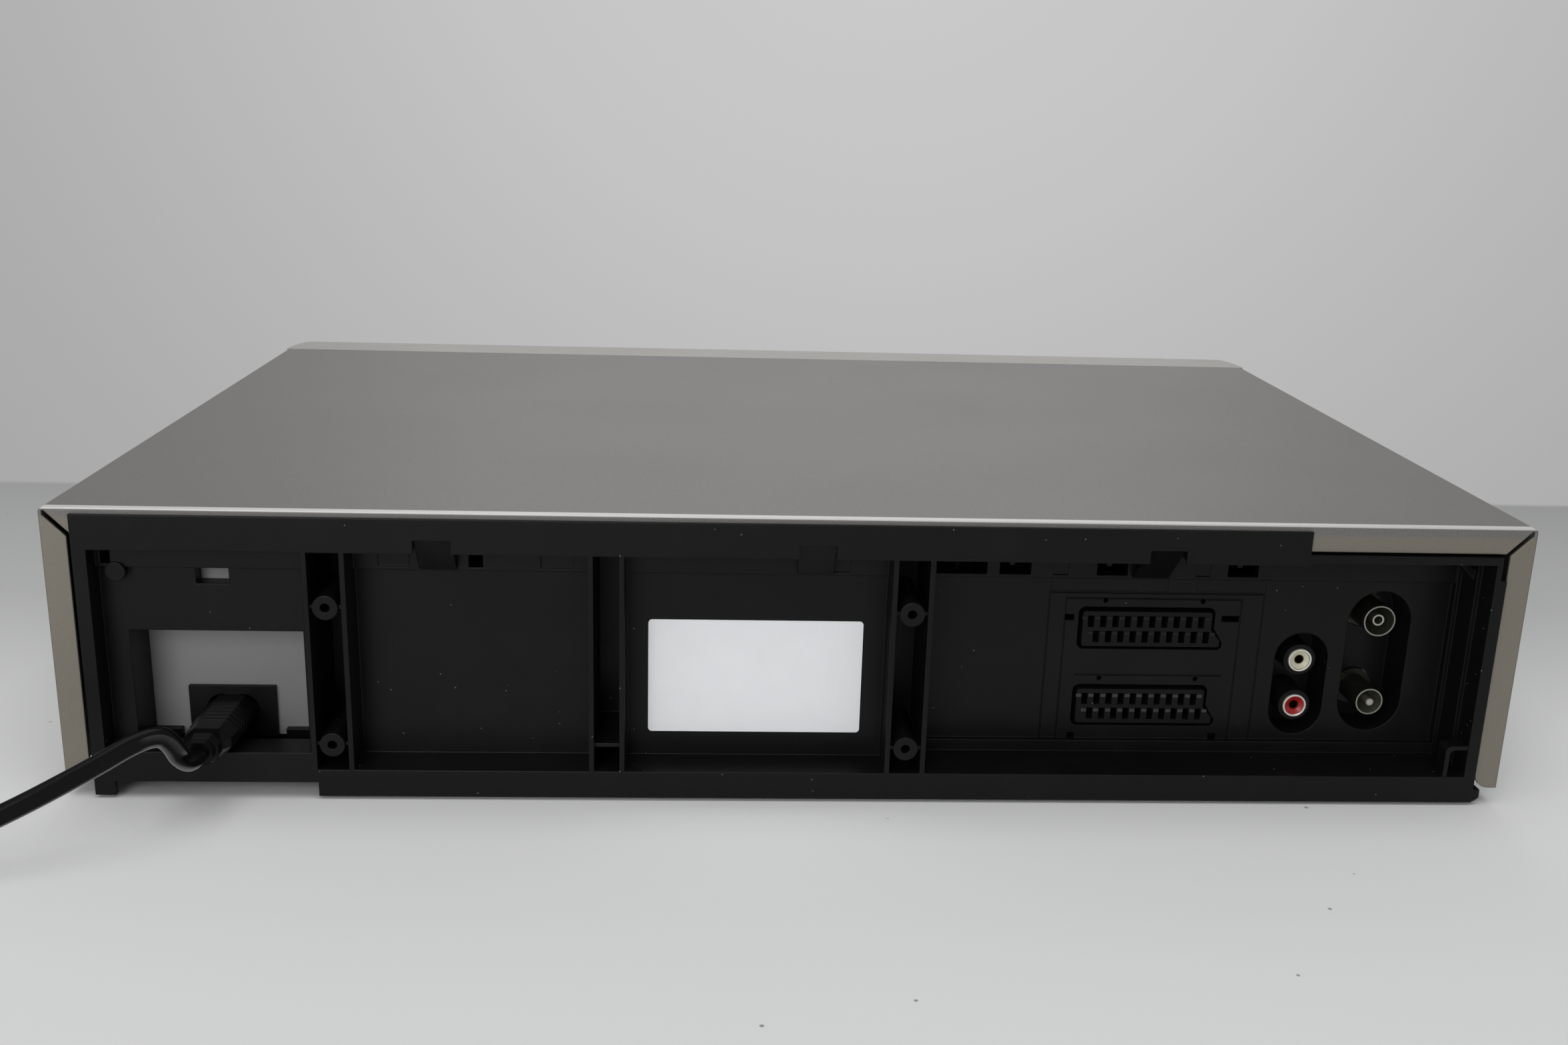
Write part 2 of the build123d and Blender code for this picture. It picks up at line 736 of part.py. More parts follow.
def pill_tube(x, height, size, spacing, hole_radius):
    """The wall and floor of a deep oblong recess, with a hole for each of its two connectors."""
    outer = (size[0] + 2 * pill_wall, size[1] + 2 * pill_wall)
    centre = Pos(x, cover_z + height)
    tube = along_y(centre * slot_pill(outer), tuner_y, rear_y - jack_wall_depth)
    tube -= along_y(centre * slot_pill(size), tuner_y + pill_wall, rear_y - jack_wall_depth)
    for side in (-1, 1):
        hole = Pos(x, cover_z + height + side * spacing / 2) * Circle(hole_radius)
        tube -= along_y(hole, tuner_y, tuner_y + pill_wall)
    return tube


def pill_mouth(x, height, size):
    """The recess's mouth in the socket wall."""
    wall_y = rear_y - jack_wall_depth
    return along_y(Pos(x, cover_z + height) * slot_pill(size), wall_y - panel_wall, wall_y)


def mains_openings():
    """The window over the inlet and the small notch above it."""
    width, height = mains_window
    low = cover_z + mains_sill_height
    half = width / 2
    left = mains_window_x - half
    right = mains_window_x + half
    window = inset_block(left, right, 0, panel_depth, low, low + height)
    window += inset_block(left, right, mains_wall_depth + panel_wall, panel_depth, pocket_floor_z, low)
    width, height = mains_notch
    low = cover_z + mains_notch_height
    half = width / 2
    notch = inset_block(mains_window_x - half, mains_window_x + half, 0, panel_depth, low, low + height)
    return [window, notch]


def mains_jambs():
    """Thin walls round the window and its notch, reaching in towards the white cover."""
    width, height = mains_window
    half = width / 2 + rib
    back = power_cover_depth - cover_clearance
    top = cover_z + mains_sill_height + height + rib
    window = inset_block(mains_window_x - half, mains_window_x + half, mains_wall_depth, back,
                         pocket_floor_z, top)
    width, height = mains_notch
    half = width / 2 + rib
    low = cover_z + mains_notch_height - rib
    back = power_latch_depth - cover_clearance
    notch = inset_block(mains_window_x - half, mains_window_x + half, mains_wall_depth, back,
                        low, low + height + 2 * rib)
    return window + notch


def mains_peg():
    """Round peg at the upper corner of the mains pocket."""
    radius, inset, height = corner_peg
    centre = Pos(in_pocket("mains", inset), cover_z + height)
    return along_y(centre * Circle(radius), rear_y - mains_wall_depth, rear_y - corner_peg_depth)


def inlet_cheeks():
    """Two low blocks behind the window's sill, beside the inlet."""
    half = mains_window[0] / 2
    back = power_cover_depth - cover_clearance
    gap = inlet_width / 2 + cheek_gap
    top = cover_z + cheek_height
    left = inset_block(mains_window_x - half, inlet_x - gap, back - panel_wall, back, pocket_floor_z, top)
    right = inset_block(inlet_x + gap, mains_window_x + half, back - panel_wall, back, pocket_floor_z, top)
    return [left, right]


def scart_outline(grow):
    """Outline of a 21-way socket seen from behind: one end is slanted. X and Z from its centre."""
    half = scart_width / 2 + grow
    high = scart_height / 2 + grow
    slant = scart_slant - half
    shape = outline((half, high), (slant, high), (slant, 0), (-half, scart_nose - high), (-half, -high),
                    (half, -high))
    corners = [vertex for vertex in shape.vertices() if abs(abs(vertex.Y) - high) < 0.01]
    nose = [vertex for vertex in corners if vertex.Y < 0 and vertex.X < 0]
    shape = fillet([vertex for vertex in corners if vertex not in nose], scart_corner + grow)
    nose = shape.vertices().group_by(Axis.Y)[0].sort_by(Axis.X)[0]
    return fillet(nose, scart_nose_corner + grow / 2)


def wall_cut(x0, x1, low, high, depth):
    """A cut into the socket wall, X from the 21-way sockets' middle and heights above the cover's edge."""
    return inset_block(scart_x + x0, scart_x + x1, jack_wall_depth - 1, jack_wall_depth + depth,
                       cover_z + low, cover_z + high)


def plate_seam(x0, x1, low, high):
    """A fine groove round a rectangle on the socket wall."""
    inner = wall_cut(x0 + seam_width, x1 - seam_width, low + seam_width, high - seam_width, seam_depth + 1)
    return wall_cut(x0, x1, low, high, seam_depth) - inner


def socket_plate_cuts():
    """Seams, clip slots and small holes of the plates round the two 21-way sockets."""
    cuts = [plate_seam(*inner_plate), plate_seam(*outer_plate), wall_cut(*plate_divider, seam_depth)]
    wall_y = rear_y - jack_wall_depth
    for height in scart_heights:
        for x in clip_hole_x:
            hole = Pos(scart_x + x, cover_z + height + clip_hole_rise) * Circle(clip_hole_radius)
            cuts.append(along_y(hole, wall_y - panel_wall - 1, wall_y + 1))
    for x0, x1, low in clip_slots:
        cuts.append(wall_cut(x0, x1, low, low + clip_slot_height, panel_wall + 1))
    return cuts


def name_tags():
    """Two blank raised plates above the 21-way sockets."""
    low = cover_z + name_tag_height
    high = header_low_z("jack") - seam_width
    start = jack_wall_depth - name_tag_thickness
    return [inset_block(scart_x + x0, scart_x + x1, start, jack_wall_depth, low, high)
            for x0, x1 in name_tag_reach]


def quarter_arch(width, high, corner):
    """A rectangle in the pocket's lower corner with one rounded corner, in X and Z."""
    left = pockets["jack"][0]
    shape = Pos(left + width / 2, pocket_floor_z + high / 2) * Rectangle(width, high)
    return fillet(shape.vertices().group_by(Axis.Y)[-1].sort_by(Axis.X)[-1], corner)


def corner_brackets():
    """A thin arch at the pocket's lower corner, a gusset at its upper one and the base's corner."""
    left = pockets["jack"][0]
    width, high = arch_size
    arch = quarter_arch(width, high, arch_corner)
    arch -= quarter_arch(width - arch_wall, high - arch_wall, arch_corner - arch_wall / 2)
    arch = along_y(arch, rear_y - arch_depths[1], rear_y - arch_depths[0])
    width, high = gusset_size
    along, down = gusset_thickness
    top = pocket_ceiling_z
    gusset = outline((left, top - high), (left + along, top - high), (left + width, top),
                     (left + width - along, top), (left, top - high + down))
    gusset = along_y(gusset, rear_y - gusset_depths[1], rear_y - gusset_depths[0])
    right = panel_left_x + left_lip / 2
    skirt_left = panel_left_x - skirt_reach
    skirt_top = cover_z - cover_clearance
    bevel = (cover_z - base_z) / 3
    skirt = outline((right, base_z), (skirt_left + bevel, base_z + cover_clearance),
                    (skirt_left, base_z + bevel), (skirt_left, skirt_top), (right, skirt_top))
    return arch + gusset + along_y(skirt, rear_y - skirt_depths[1], rear_y - skirt_depths[0])


def jack_ledge():
    """The raised band along the bottom of the socket wall."""
    left, right, depth = pockets["jack"]
    top = pocket_floor_z + jack_ledge_height
    return inset_block(left, right, depth - header_step, depth, pocket_floor_z, top)


def socket_openings():
    """Holes for the two 21-way sockets, wider behind the wall for their skirts."""
    wall_y = rear_y - jack_wall_depth
    openings = []
    for height in scart_heights:
        place = Pos(scart_x, cover_z + height)
        openings.append(along_y(place * scart_outline(0), rear_y - panel_depth, wall_y + 1))
        skirt = place * scart_outline(scart_skirt + cover_clearance)
        openings.append(along_y(skirt, rear_y - panel_depth, wall_y - panel_wall))
    return openings


def corner_step():
    """The underside steps up below the mains pocket, leaving a short foot at the corner."""
    left, right, _ = pockets["mains"]
    return inset_block(left - rib, right - foot_inset, -1, panel_depth, base_z - 1, cover_z)


def rear_panel():
    """The black moulding that carries the sockets: pockets, ribs, bosses, strip and hooks."""
    panel = panel_shell() + panel_strip() + panel_step_walls() + corner_brackets() + jack_ledge()
    for name in header_heights:
        panel += panel_header(name)
    for piece in panel_bosses() + name_tags():
        panel += piece
    for name in hook_inset:
        panel -= hook_space(name)
        panel += panel_hook(name)
    panel += mains_jambs()
    left, right, depth = pockets["narrow_channel"]
    shelf_low, shelf_top = shelf_heights
    panel += inset_block(left, right, panel_wall, depth, cover_z + shelf_low, cover_z + shelf_top)
    cuts = mains_openings() + header_cuts() + boss_holes() + socket_plate_cuts() + socket_openings()
    cuts.append(pill_mouth(jack_pill_x, jack_pill_height, jack_pill))
    cuts.append(pill_mouth(aerial_pill_x, aerial_pill_height, aerial_pill))
    cuts.append(corner_step())
    for cut in cuts:
        panel -= cut
    for piece in header_tabs() + inlet_cheeks() + [mains_peg()]:
        panel += piece
    hole = jack_barrel_radius + cover_clearance
    panel += pill_tube(jack_pill_x, jack_pill_height, jack_pill, jack_spacing, hole)
    hole = aerial_flange_radius + cover_clearance
    panel += pill_tube(aerial_pill_x, aerial_pill_height, aerial_pill, aerial_spacing, hole)
    return panel


# ---- Cabinet pieces ------------------------------------------------------------------------
def screw_places():
    """Y and Z of the two cover screws on each side."""
    z = cover_z + screw_height
    return ((seam_y + screw_front_y, z), (rear_y - screw_rear_y, z))


def top_cover():
    """Sheet cover: top, two sides and the rear return lips with mitred corners."""
    outer = block(-half_width, half_width, seam_y, flange_y, cover_z, top_z)
    long_edges = [edge for edge in outer.edges().filter_by(Axis.Y) if edge.center().Z > top_z - 1]
    outer = fillet(long_edges, cover_bend_radius)
    inner_half = half_width - sheet
    cover = outer - block(-inner_half, inner_half, seam_y, flange_y - sheet, cover_z, top_z - sheet)
    window_half = half_width - side_flange
    cover -= block(-window_half, window_half, flange_y - sheet, flange_y, cover_z, top_z - top_flange)
    for side in (-1, 1):
        corner = Pos(side * (half_width - side_flange / 2), flange_y - sheet / 2, top_z - top_flange / 2)
        cut = Box(mitre_gap, 3 * sheet, 2 * (side_flange + top_flange))
        keep_out = corner * Rot(0, side * 45, 0) * cut
        skin = block(-inner_half, inner_half, flange_y - sheet, flange_y, cover_z, top_z - sheet)
        cover -= keep_out & skin
        rounding = [edge for edge in cover.edges().filter_by(Axis.Y)
                    if abs(edge.center().X - side * window_half) < 0.01 and edge.center().Z < cover_z + 0.1]
        cover = fillet(rounding, flange_corner_radius)
    for y, z in screw_places():
        cover -= Pos(0, y, z) * Rot(0, 90, 0) * Cylinder(screw_radius + cover_clearance, cabinet_width + 2)
    return cover


def cover_screws():
    """Four pan-head screws through the cover's sides into the base."""
    radius, height = screw_head
    long, wide, deep = screw_cross
    screws = []
    for side in (-1, 1):
        for y, z in screw_places():
            head = Pos(side * (half_width + height / 2), y, z) * Rot(0, 90, 0) * Cylinder(radius, height)
            shank = Pos(side * (half_width - screw_length / 2), y, z) * Rot(0, 90, 0)
            shank = shank * Cylinder(screw_radius, screw_length)
            slot = Pos(side * (half_width + height), y, z)
            cross = slot * Box(deep, long, wide) + slot * Box(deep, wide, long)
            screws.append(head + shank - cross)
    return Compound(children=screws)


def deck_post_places():
    """X and Y of the posts that carry the tape deck."""
    x = deck_half_width - deck_post_inset
    return [(side * x, y) for side in (-1, 1) for y in (deck_front_y + 8.0, deck_rear_y - 24.0)]


def board_post_places():
    """X and Y of the posts that carry the main board."""
    edge = base_ledge - post_radius - post_edge_gap
    x = base_half_width - edge
    front = seam_y + edge
    rear = panel_inner_y - edge
    return [(side * x, y) for side in (-1, 1) for y in (front, rear)]


def base_tray():
    """Black moulded base: walls, an open floor with two rails, and posts."""
    rear = panel_inner_y
    outer = block(-base_half_width, base_half_width, seam_y, rear, base_z, base_z + base_wall_height)
    inner_half = base_half_width - base_wall
    tray = outer - block(-inner_half, inner_half, seam_y + base_wall, rear, base_floor_z, top_z)
    # The floor runs on under the rear panel's hollow, except below the mains pocket.
    tongue_left = panel_left_x + panel_wall + cover_clearance
    tongue_right = pockets["mains"][0] - rib - cover_clearance
    tray += block(tongue_left, tongue_right, rear - 1, rear_y - panel_wall, base_z, base_floor_z)
    hole_half = base_half_width - base_ledge
    tray -= block(-hole_half, hole_half, seam_y + base_ledge, rear - base_ledge, base_z, base_floor_z)
    tray -= block(-hole_half, hole_half, seam_y, seam_y + base_wall, board_top_z, top_z)
    rail_x = deck_half_width - deck_post_inset
    for side in (-1, 1):
        x = side * rail_x
        tray += block(x - rail_width / 2, x + rail_width / 2, seam_y + base_wall, rear, base_z, base_floor_z)
    for x, y in deck_post_places():
        tray += rod(x, y, base_floor_z, deck_z, post_radius)
        tray -= rod(x, y, deck_z - post_hole_depth, deck_z, post_hole_radius)
    for x, y in board_post_places():
        tray += rod(x, y, base_floor_z, board_z, post_radius)
    for side in (-1, 1):
        for y, z in screw_places():
            x = side * (base_half_width - screw_pad[0] / 2)
            tray += Pos(x, y, base_z + base_wall_height / 2) * Box(*screw_pad, base_wall_height)
            hole = Pos(side * (half_width - screw_length / 2), y, z) * Rot(0, 90, 0)
            tray -= hole * Cylinder(screw_radius, screw_length)
    for x, y in foot_places():
        tray -= rod(x, y, base_z, base_z + foot_depth, foot_radius)
    return tray


def foot_places():
    """X and Y of the four feet."""
    x = base_half_width - base_ledge / 2
    front = seam_y + foot_end_inset
    rear = panel_inner_y - foot_end_inset
    return [(side * x, y) for side in (-1, 1) for y in (front, rear)]


def bottom_plate():
    """Steel plate on the base's ledge, with vent slots and holes for the posts."""
    half = base_half_width - base_ledge + bottom_plate_lap
    front = seam_y + base_ledge - bottom_plate_lap
    rear = panel_inner_y - base_ledge + bottom_plate_lap
    plate = block(-half, half, front, rear, base_floor_z, bottom_plate_z)
    for x, y in deck_post_places() + board_post_places():
        plate -= rod(x, y, base_floor_z - 1, bottom_plate_z + 1, post_radius + post_edge_gap)
    slot = SlotOverall(bottom_slot[1], bottom_slot[0], rotation=90)
    first = base_half_width - bottom_slot_inset - bottom_slot_pitch * (bottom_slot_count - 1) / 2
    for side in (-1, 1):
        for number in range(bottom_slot_count):
            place = Pos(side * (first + number * bottom_slot_pitch), bottom_slot_y)
            plate -= along_z(place * slot, base_floor_z, bottom_plate_z)
    return plate


def feet():
    """Four rubber pads sunk into the base."""
    pads = [rod(x, y, 0, base_z + foot_depth, foot_radius) for x, y in foot_places()]
    return Compound(children=pads)


def front_outline():
    """Plan of the front panel: a slight bow with sides that curve in towards it."""
    side_y = front_y + 1.0
    side_x = half_width - 4.5
    middle = (seam_y + side_y) / 2
    left = ThreePointArc((-half_width, seam_y), (-half_width + 1.0, middle), (-side_x, side_y))
    front = ThreePointArc((-side_x, side_y), (0, front_y), (side_x, side_y))
    right = ThreePointArc((side_x, side_y), (half_width - 1.0, middle), (half_width, seam_y))
    back = Line((half_width, seam_y), (-half_width, seam_y))
    plan = make_face([left, front, right, back])
    ends = [vertex for vertex in plan.vertices() if vertex.Y < middle]
    return fillet(ends, front_corner_radius)


slot_top_z = slot_z0 + flap_height + 2 * flap_gap
flap_top_z = slot_top_z - flap_gap
front_inner_y = front_y + front_wall + 0.7
flap_axis_y = front_inner_y + flap_pivot_radius + 0.3
flap_axis_z = flap_top_z - flap_pivot_radius
front_board_y = seam_y + 5.0
transport_names = ("rewind", "play", "forward", "stop")


def button_shapes():
    """Each button's place and outline: name, x, z, sketch maker."""
    shapes = {
        "power": (power_button_x, button_row_z, lambda grow: Circle(power_button_radius + grow)),
        "eject": (eject_button_x, button_row_z, lambda grow: button_outline(button_size, grow)),
        "record": (first_button_x, record_button_z, lambda grow: button_outline(button_size, grow)),
    }
    for number, name in enumerate(transport_names):
        size = play_button_size if name == "play" else button_size
        place = first_button_x + number * button_pitch
        shapes[name] = (place, button_row_z, lambda grow, size=size: button_outline(size, grow))
    return shapes


def button_outline(size, grow):
    """A rounded rectangle, grown all round."""
    return RectangleRounded(size[0] + 2 * grow, size[1] + 2 * grow, button_corner + grow)


def button(name):
    """A push button: cap, retaining flange behind the panel and a stem to its switch."""
    x, z, sketch = button_shapes()[name]
    place = Pos(x, z)
    flange_y = front_inner_y + 0.15
    cap = along_y(place * sketch(0), front_y, flange_y)
    flange = along_y(place * sketch(button_flange), flange_y, flange_y + button_flange)
    stem_end = front_board_y - switch_proud - button_gap - button_travel
    stem = along_y(place * Circle(stem_radius), flange_y, stem_end)
    cap = fillet(cap.faces().sort_by(Axis.Y)[0].edges(), button_edge)
    return cap + flange + stem


def flap_ears():
    """Two bearings for the cassette flap, hanging from the panel's top wall."""
    ears = []
    for side in (-1, 1):
        x0 = side * slot_half_width
        x1 = side * (slot_half_width + 3.5)
        ear = block(min(x0, x1), max(x0, x1), front_inner_y, flap_axis_y + 4.0, flap_axis_z - 4.0,
                    top_z - front_wall)
        bore = Pos((x0 + x1) / 2, flap_axis_y, flap_axis_z) * Rot(0, 90, 0)
        ears.append(ear - bore * Cylinder(flap_pivot_radius + running_gap, 8.0))
    return ears


def front_panel():
    """Moulded front: curved ends, cassette slot, display opening and button holes."""
    bottom = base_z + 0.9
    shell = extrude(Plane.XY.offset(bottom) * front_outline(), amount=top_z - bottom)
    inner_half = half_width - 5.5
    shell -= block(-inner_half, inner_half, front_inner_y, seam_y, bottom + front_wall, top_z - front_wall)
    shell -= block(-slot_half_width, slot_half_width, front_y - 1, front_inner_y + 1, slot_z0, slot_top_z)
    x, z = window_centre
    width, height = window_size
    shell -= block(x - width / 2, x + width / 2, front_y - 1, front_inner_y + 1,
                   z - height / 2, z + height / 2)
    for x, z, sketch in button_shapes().values():
        shell -= along_y(Pos(x, z) * sketch(button_clearance), front_y - 1, front_inner_y + 1)
    for ear in flap_ears():
        shell += ear
    return shell


def display_window():
    """Dark window with a flange behind the panel."""
    x, z = window_centre
    width = window_size[0] - 2 * button_clearance
    height = window_size[1] - 2 * button_clearance
    lens = along_y(Pos(x, z) * RectangleRounded(width, height, 1.0), front_y + 0.6, front_inner_y)
    rear = front_inner_y + window_thickness
    flange = along_y(Pos(x, z) * Rectangle(width + 6, height + 4), front_inner_y, rear)
    return lens + flange


def display_tube():
    """Flat glass display tube on the front board, with its sealed tip."""
    x, z = window_centre
    width, height, depth = display_size
    middle = front_board_y - depth / 2
    glass = Pos(x, middle, z) * Box(width, depth, height)
    glass = fillet(glass.edges().filter_by(Axis.X), 1.0)
    base, end, length = display_tip
    return glass + Pos(x + (width + length) / 2, middle, z) * Rot(0, 90, 0) * Cone(base, end, length)


def front_board():
    """Upright board behind the front panel, with a push switch behind each button."""
    board = block(-board_half_width, board_half_width, front_board_y, front_board_y + board_thickness,
                  board_top_z, board_top_z + front_board_height)
    for x, z, _ in button_shapes().values():
        board += Pos(x, front_board_y, z) * Box(switch_size, 2 * switch_proud, switch_size)
    return board


def cassette_flap():
    """Flap over the cassette slot, with a pivot pin at each top corner."""
    half = slot_half_width - flap_gap
    front = front_y + 1.0
    plate = block(-half, half, front, front + flap_thickness, slot_z0 + flap_gap, flap_top_z)
    plate = fillet(plate.edges().filter_by(Axis.X).group_by(Axis.Y)[0], 0.8)
    low = flap_axis_z - flap_pivot_radius
    for side in (-1, 1):
        edge = side * half
        inner = side * (half - 3.0)
        plate += block(min(edge, inner), max(edge, inner), front + 1.0, flap_axis_y, low, flap_top_z)
        pin = Pos(side * (half + 0.3), flap_axis_y, flap_axis_z) * Rot(0, 90, 0)
        plate += pin * Cylinder(flap_pivot_radius, 6.6)
    return plate


# ---- Mains side and sockets ----------------------------------------------------------------
def power_cover():
    """White insulating cover over the power supply, open below, with cooling slots on top."""
    x0 = pockets["mains"][0] + cover_clearance
    x1 = board_half_width
    rear = rear_y - power_cover_depth
    front = rear - power_cover_length
    top = cover_z + power_cover_top_height
    cover = block(x0, x1, front, rear, board_top_z, top)
    wall = power_cover_wall
    cover -= block(x0 + wall, x1 - wall, front + wall, rear - wall, board_top_z, top - wall)
    z = cover_z + inlet_centre_height
    half = inlet_width / 2
    cover -= block(inlet_x - half, inlet_x + half, rear - wall, rear, board_top_z, z + inlet_height / 2)
    first = (front + rear - power_slot_pitch * (power_slot_count - 1)) / 2
    for number in range(power_slot_count):
        y = first + number * power_slot_pitch
        slot = block(x0 + power_slot_end, x1 - power_slot_end, y, y + power_slot_width, top - wall, top)
        cover -= slot
    width, height = mains_notch
    half = width / 2 + power_latch_margin
    low = cover_z + mains_notch_height - power_latch_margin
    latch = inset_block(mains_window_x - half, mains_window_x + half, power_latch_depth, power_cover_depth,
                        low, low + height + 2 * power_latch_margin)
    return cover + latch


def eight_outline(width, thickness, grow=0.0):
    """Figure-of-eight section of a two-pole appliance connector, in X and Z."""
    radius = thickness / 2 + grow
    reach = (width - thickness) / 2
    shape = Pos(-reach, 0) * Circle(radius) + Pos(reach, 0) * Circle(radius)
    return shape + Rectangle(2 * reach, (thickness - 1.6) + 2 * grow)


def mains_inlet():
    """Two-pin appliance inlet standing on the board."""
    z = cover_z + inlet_centre_height
    face = rear_y - power_cover_depth + inlet_proud
    half = inlet_width / 2
    body = block(inlet_x - half, inlet_x + half, face - inlet_body_length, face, board_top_z,
                 z + inlet_height / 2)
    cavity = Pos(inlet_x, z) * eight_outline(connector_width, connector_thickness, connector_clearance)
    floor = face - connector_nose - 1.0
    body -= along_y(cavity, floor, face + 0.1)
    for side in (-1, 1):
        pin = Pos(inlet_x + side * inlet_pin_offset, z) * Circle(inlet_pin_radius)
        body += along_y(pin, floor, face - inlet_proud)
    return body


def transformer():
    """Mains transformer: laminated core with a bobbin through it."""
    place = Pos(inlet_x, rear_y - power_cover_depth - transformer_depth, board_top_z)
    width, depth, height = transformer_core
    core = place * Pos(0, 0, height / 2) * Box(width, depth, height)
    coil = place * Pos(0, 0, transformer_lift + transformer_coil[2] / 2) * Box(*transformer_coil)
    coil = fillet(coil.edges().filter_by(Axis.Z), transformer_coil[0] / 5)
    foot = Box(depth / 3, depth * 4 / 3, panel_wall)
    lugs = [place * Pos(side * width / 3, 0, panel_wall / 2) * foot for side in (-1, 1)]
    return core + coil + lugs


def capacitors():
    """Upright electrolytic capacitors of the supply and of the main board."""
    cover_y = rear_y - power_cover_depth
    x, depth, radius, height = inlet_can
    rows = [(inlet_x + x, cover_y - depth, radius, height)]
    rows += [(inlet_x + x, cover_y - supply_can_depth, radius, height) for x, radius, height in supply_cans]
    rows += [(-deck_half_width - out, y, radius, height) for out, y, radius, height in board_cans]
    groove_radius, groove_height = can_groove
    cans = []
    for x, y, radius, height in rows:
        can = rod(x, y, board_top_z, board_top_z + height, radius)
        cans.append(can - Pos(x, y, board_top_z + groove_height) * Torus(radius, groove_radius))
    return Compound(children=cans)


def heat_sink():
    """Finned aluminium sink on the board."""
    thickness, depth, height = sink_size
    reach, fin, pitch = sink_fin
    x = inlet_x - sink_offset
    y = rear_y - power_cover_depth - sink_depth
    top = board_top_z + height
    sink = block(x - thickness / 2, x + thickness / 2, y, y + depth, board_top_z, top)
    for number in range(sink_fin_count):
        fin_y = y + number * pitch
        sink += block(x - reach / 2, x + reach / 2, fin_y, fin_y + fin, board_top_z, top)
    return sink


def scart_socket(height, leg_bottom):
    """A 21-way socket: skirt round a groove, island with contact slots and a block down to its seat."""
    z = cover_z + height
    place = Pos(scart_x, z)
    face = rear_y - jack_wall_depth + scart_proud
    back = face - scart_body_depth
    groove_floor = face - scart_groove_depth
    skirt_face = rear_y - jack_wall_depth - panel_wall - cover_clearance
    body = along_y(place * scart_outline(scart_skirt), back, skirt_face)
    body -= along_y(place * scart_outline(0), groove_floor, face)
    body += along_y(place * scart_outline(-scart_groove), groove_floor, face)
    width, high, deep = scart_slot
    for row_z, shift in scart_rows:
        for number in range(scart_slots):
            x = scart_x + shift + (number - (scart_slots - 1) / 2) * scart_pitch
            body -= block(x - width / 2, x + width / 2, face - deep, face + 1, z + row_z - high / 2,
                          z + row_z + high / 2)
    half = scart_width / 2
    leg = block(scart_x - half, scart_x + half, back, panel_inner_y - scart_leg_gap, leg_bottom, z)
    return body + leg


def jack_centres():
    """Centre of the lower and upper sound socket, in X and Z."""
    middle = cover_z + jack_pill_height
    return [Pos(jack_pill_x, middle + side * jack_spacing / 2) for side in (-1, 1)]


def jack_block():
    """Black holder of the two sound sockets, standing on the board."""
    half = jack_pill[0] / 2 - 2 * cover_clearance
    block_top = cover_z + jack_pill_height + jack_pill[1] / 2
    face = tuner_y - cover_clearance
    body = block(jack_pill_x - half, jack_pill_x + half, tuner_y - jack_block_depth, face,
                 board_top_z, block_top)
    for centre in jack_centres():
        front = rear_y - jack_wall_depth - jack_barrel_set_in
        body += along_y(centre * Circle(jack_barrel_radius), face - 1, front)
        body -= along_y(centre * Circle(jack_radius), tuner_y - jack_insert_depth, rear_y)
    return body


def jack_insert(centre):
    """One sound socket: a sleeve round the centre contact's hole."""
    back = tuner_y - jack_insert_depth
    sleeve = along_y(centre * Circle(jack_radius), back, rear_y - jack_wall_depth - jack_insert_set_in)
    return sleeve - along_y(centre * Circle(jack_hole_radius), back + panel_wall, rear_y)


def tuner_can():
    """Screened aerial module on the board, with a row of lid dimples."""
    width, depth = tuner_size
    top = cover_z + aerial_pill_height + aerial_pill[1] / 2 + tuner_top_gap
    face = tuner_y - cover_clearance
    half = width / 2
    can = block(aerial_pill_x - half, aerial_pill_x + half, face - depth, face, board_top_z, top)
    can = fillet(can.edges().filter_by(Axis.Z), tuner_corner)
    radius, deep = tuner_dimple
    for height in tuner_dimple_heights:
        for side in (-1, 1):
            dimple = Pos(aerial_pill_x + side * half, face - depth / 2, board_top_z + height) * Rot(0, 90, 0)
            can -= dimple * Cylinder(radius, 2 * deep)
    return can


def aerial_place(side):
    """Centre of the upper or lower aerial connector, in X and Z."""
    return Pos(aerial_pill_x, cover_z + aerial_pill_height + side * aerial_spacing / 2)


def aerial_sleeve(place, radius, face):
    """A connector's flange on the aerial module and the thin sleeve that stands on it."""
    back = tuner_y - cover_clearance
    floor = back + aerial_flange
    flange = along_y(place * Circle(aerial_flange_radius), back, floor)
    sleeve = along_y(place * (Circle(radius) - Circle(radius - aerial_shell_wall)), floor, face)
    return flange + sleeve


def aerial_in_socket():
    """Female aerial connector: open sleeve round a tubular contact."""
    place = aerial_place(1)
    back = tuner_y - cover_clearance
    face = rear_y - jack_wall_depth
    contact = along_y(place * Circle(aerial_contact_radius), back, face - aerial_contact_depth)
    socket = aerial_sleeve(place, aerial_shell_radius, face) + contact
    hole = place * Circle(aerial_pin_radius + 2 * running_gap)
    return socket - along_y(hole, back + aerial_contact_floor, face)


def aerial_out_plug():
    """Male aerial connector: sleeve round a centre pin."""
    place = aerial_place(-1)
    face = rear_y - jack_wall_depth + aerial_plug_proud
    pin = along_y(place * Circle(aerial_pin_radius), tuner_y - cover_clearance, face + aerial_pin_proud)
    return aerial_sleeve(place, aerial_plug_radius, face) + pin


def rating_label():
    """Blank sticker on the wide pocket's back wall."""
    centre = Pos(in_pocket("label", label_inset), cover_z + label_centre_height)
    sticker = centre * RectangleRounded(*label_size, label_corner_radius)
    wall_y = rear_y - blank_wall_depth
    return along_y(sticker, wall_y, wall_y + label_thickness)


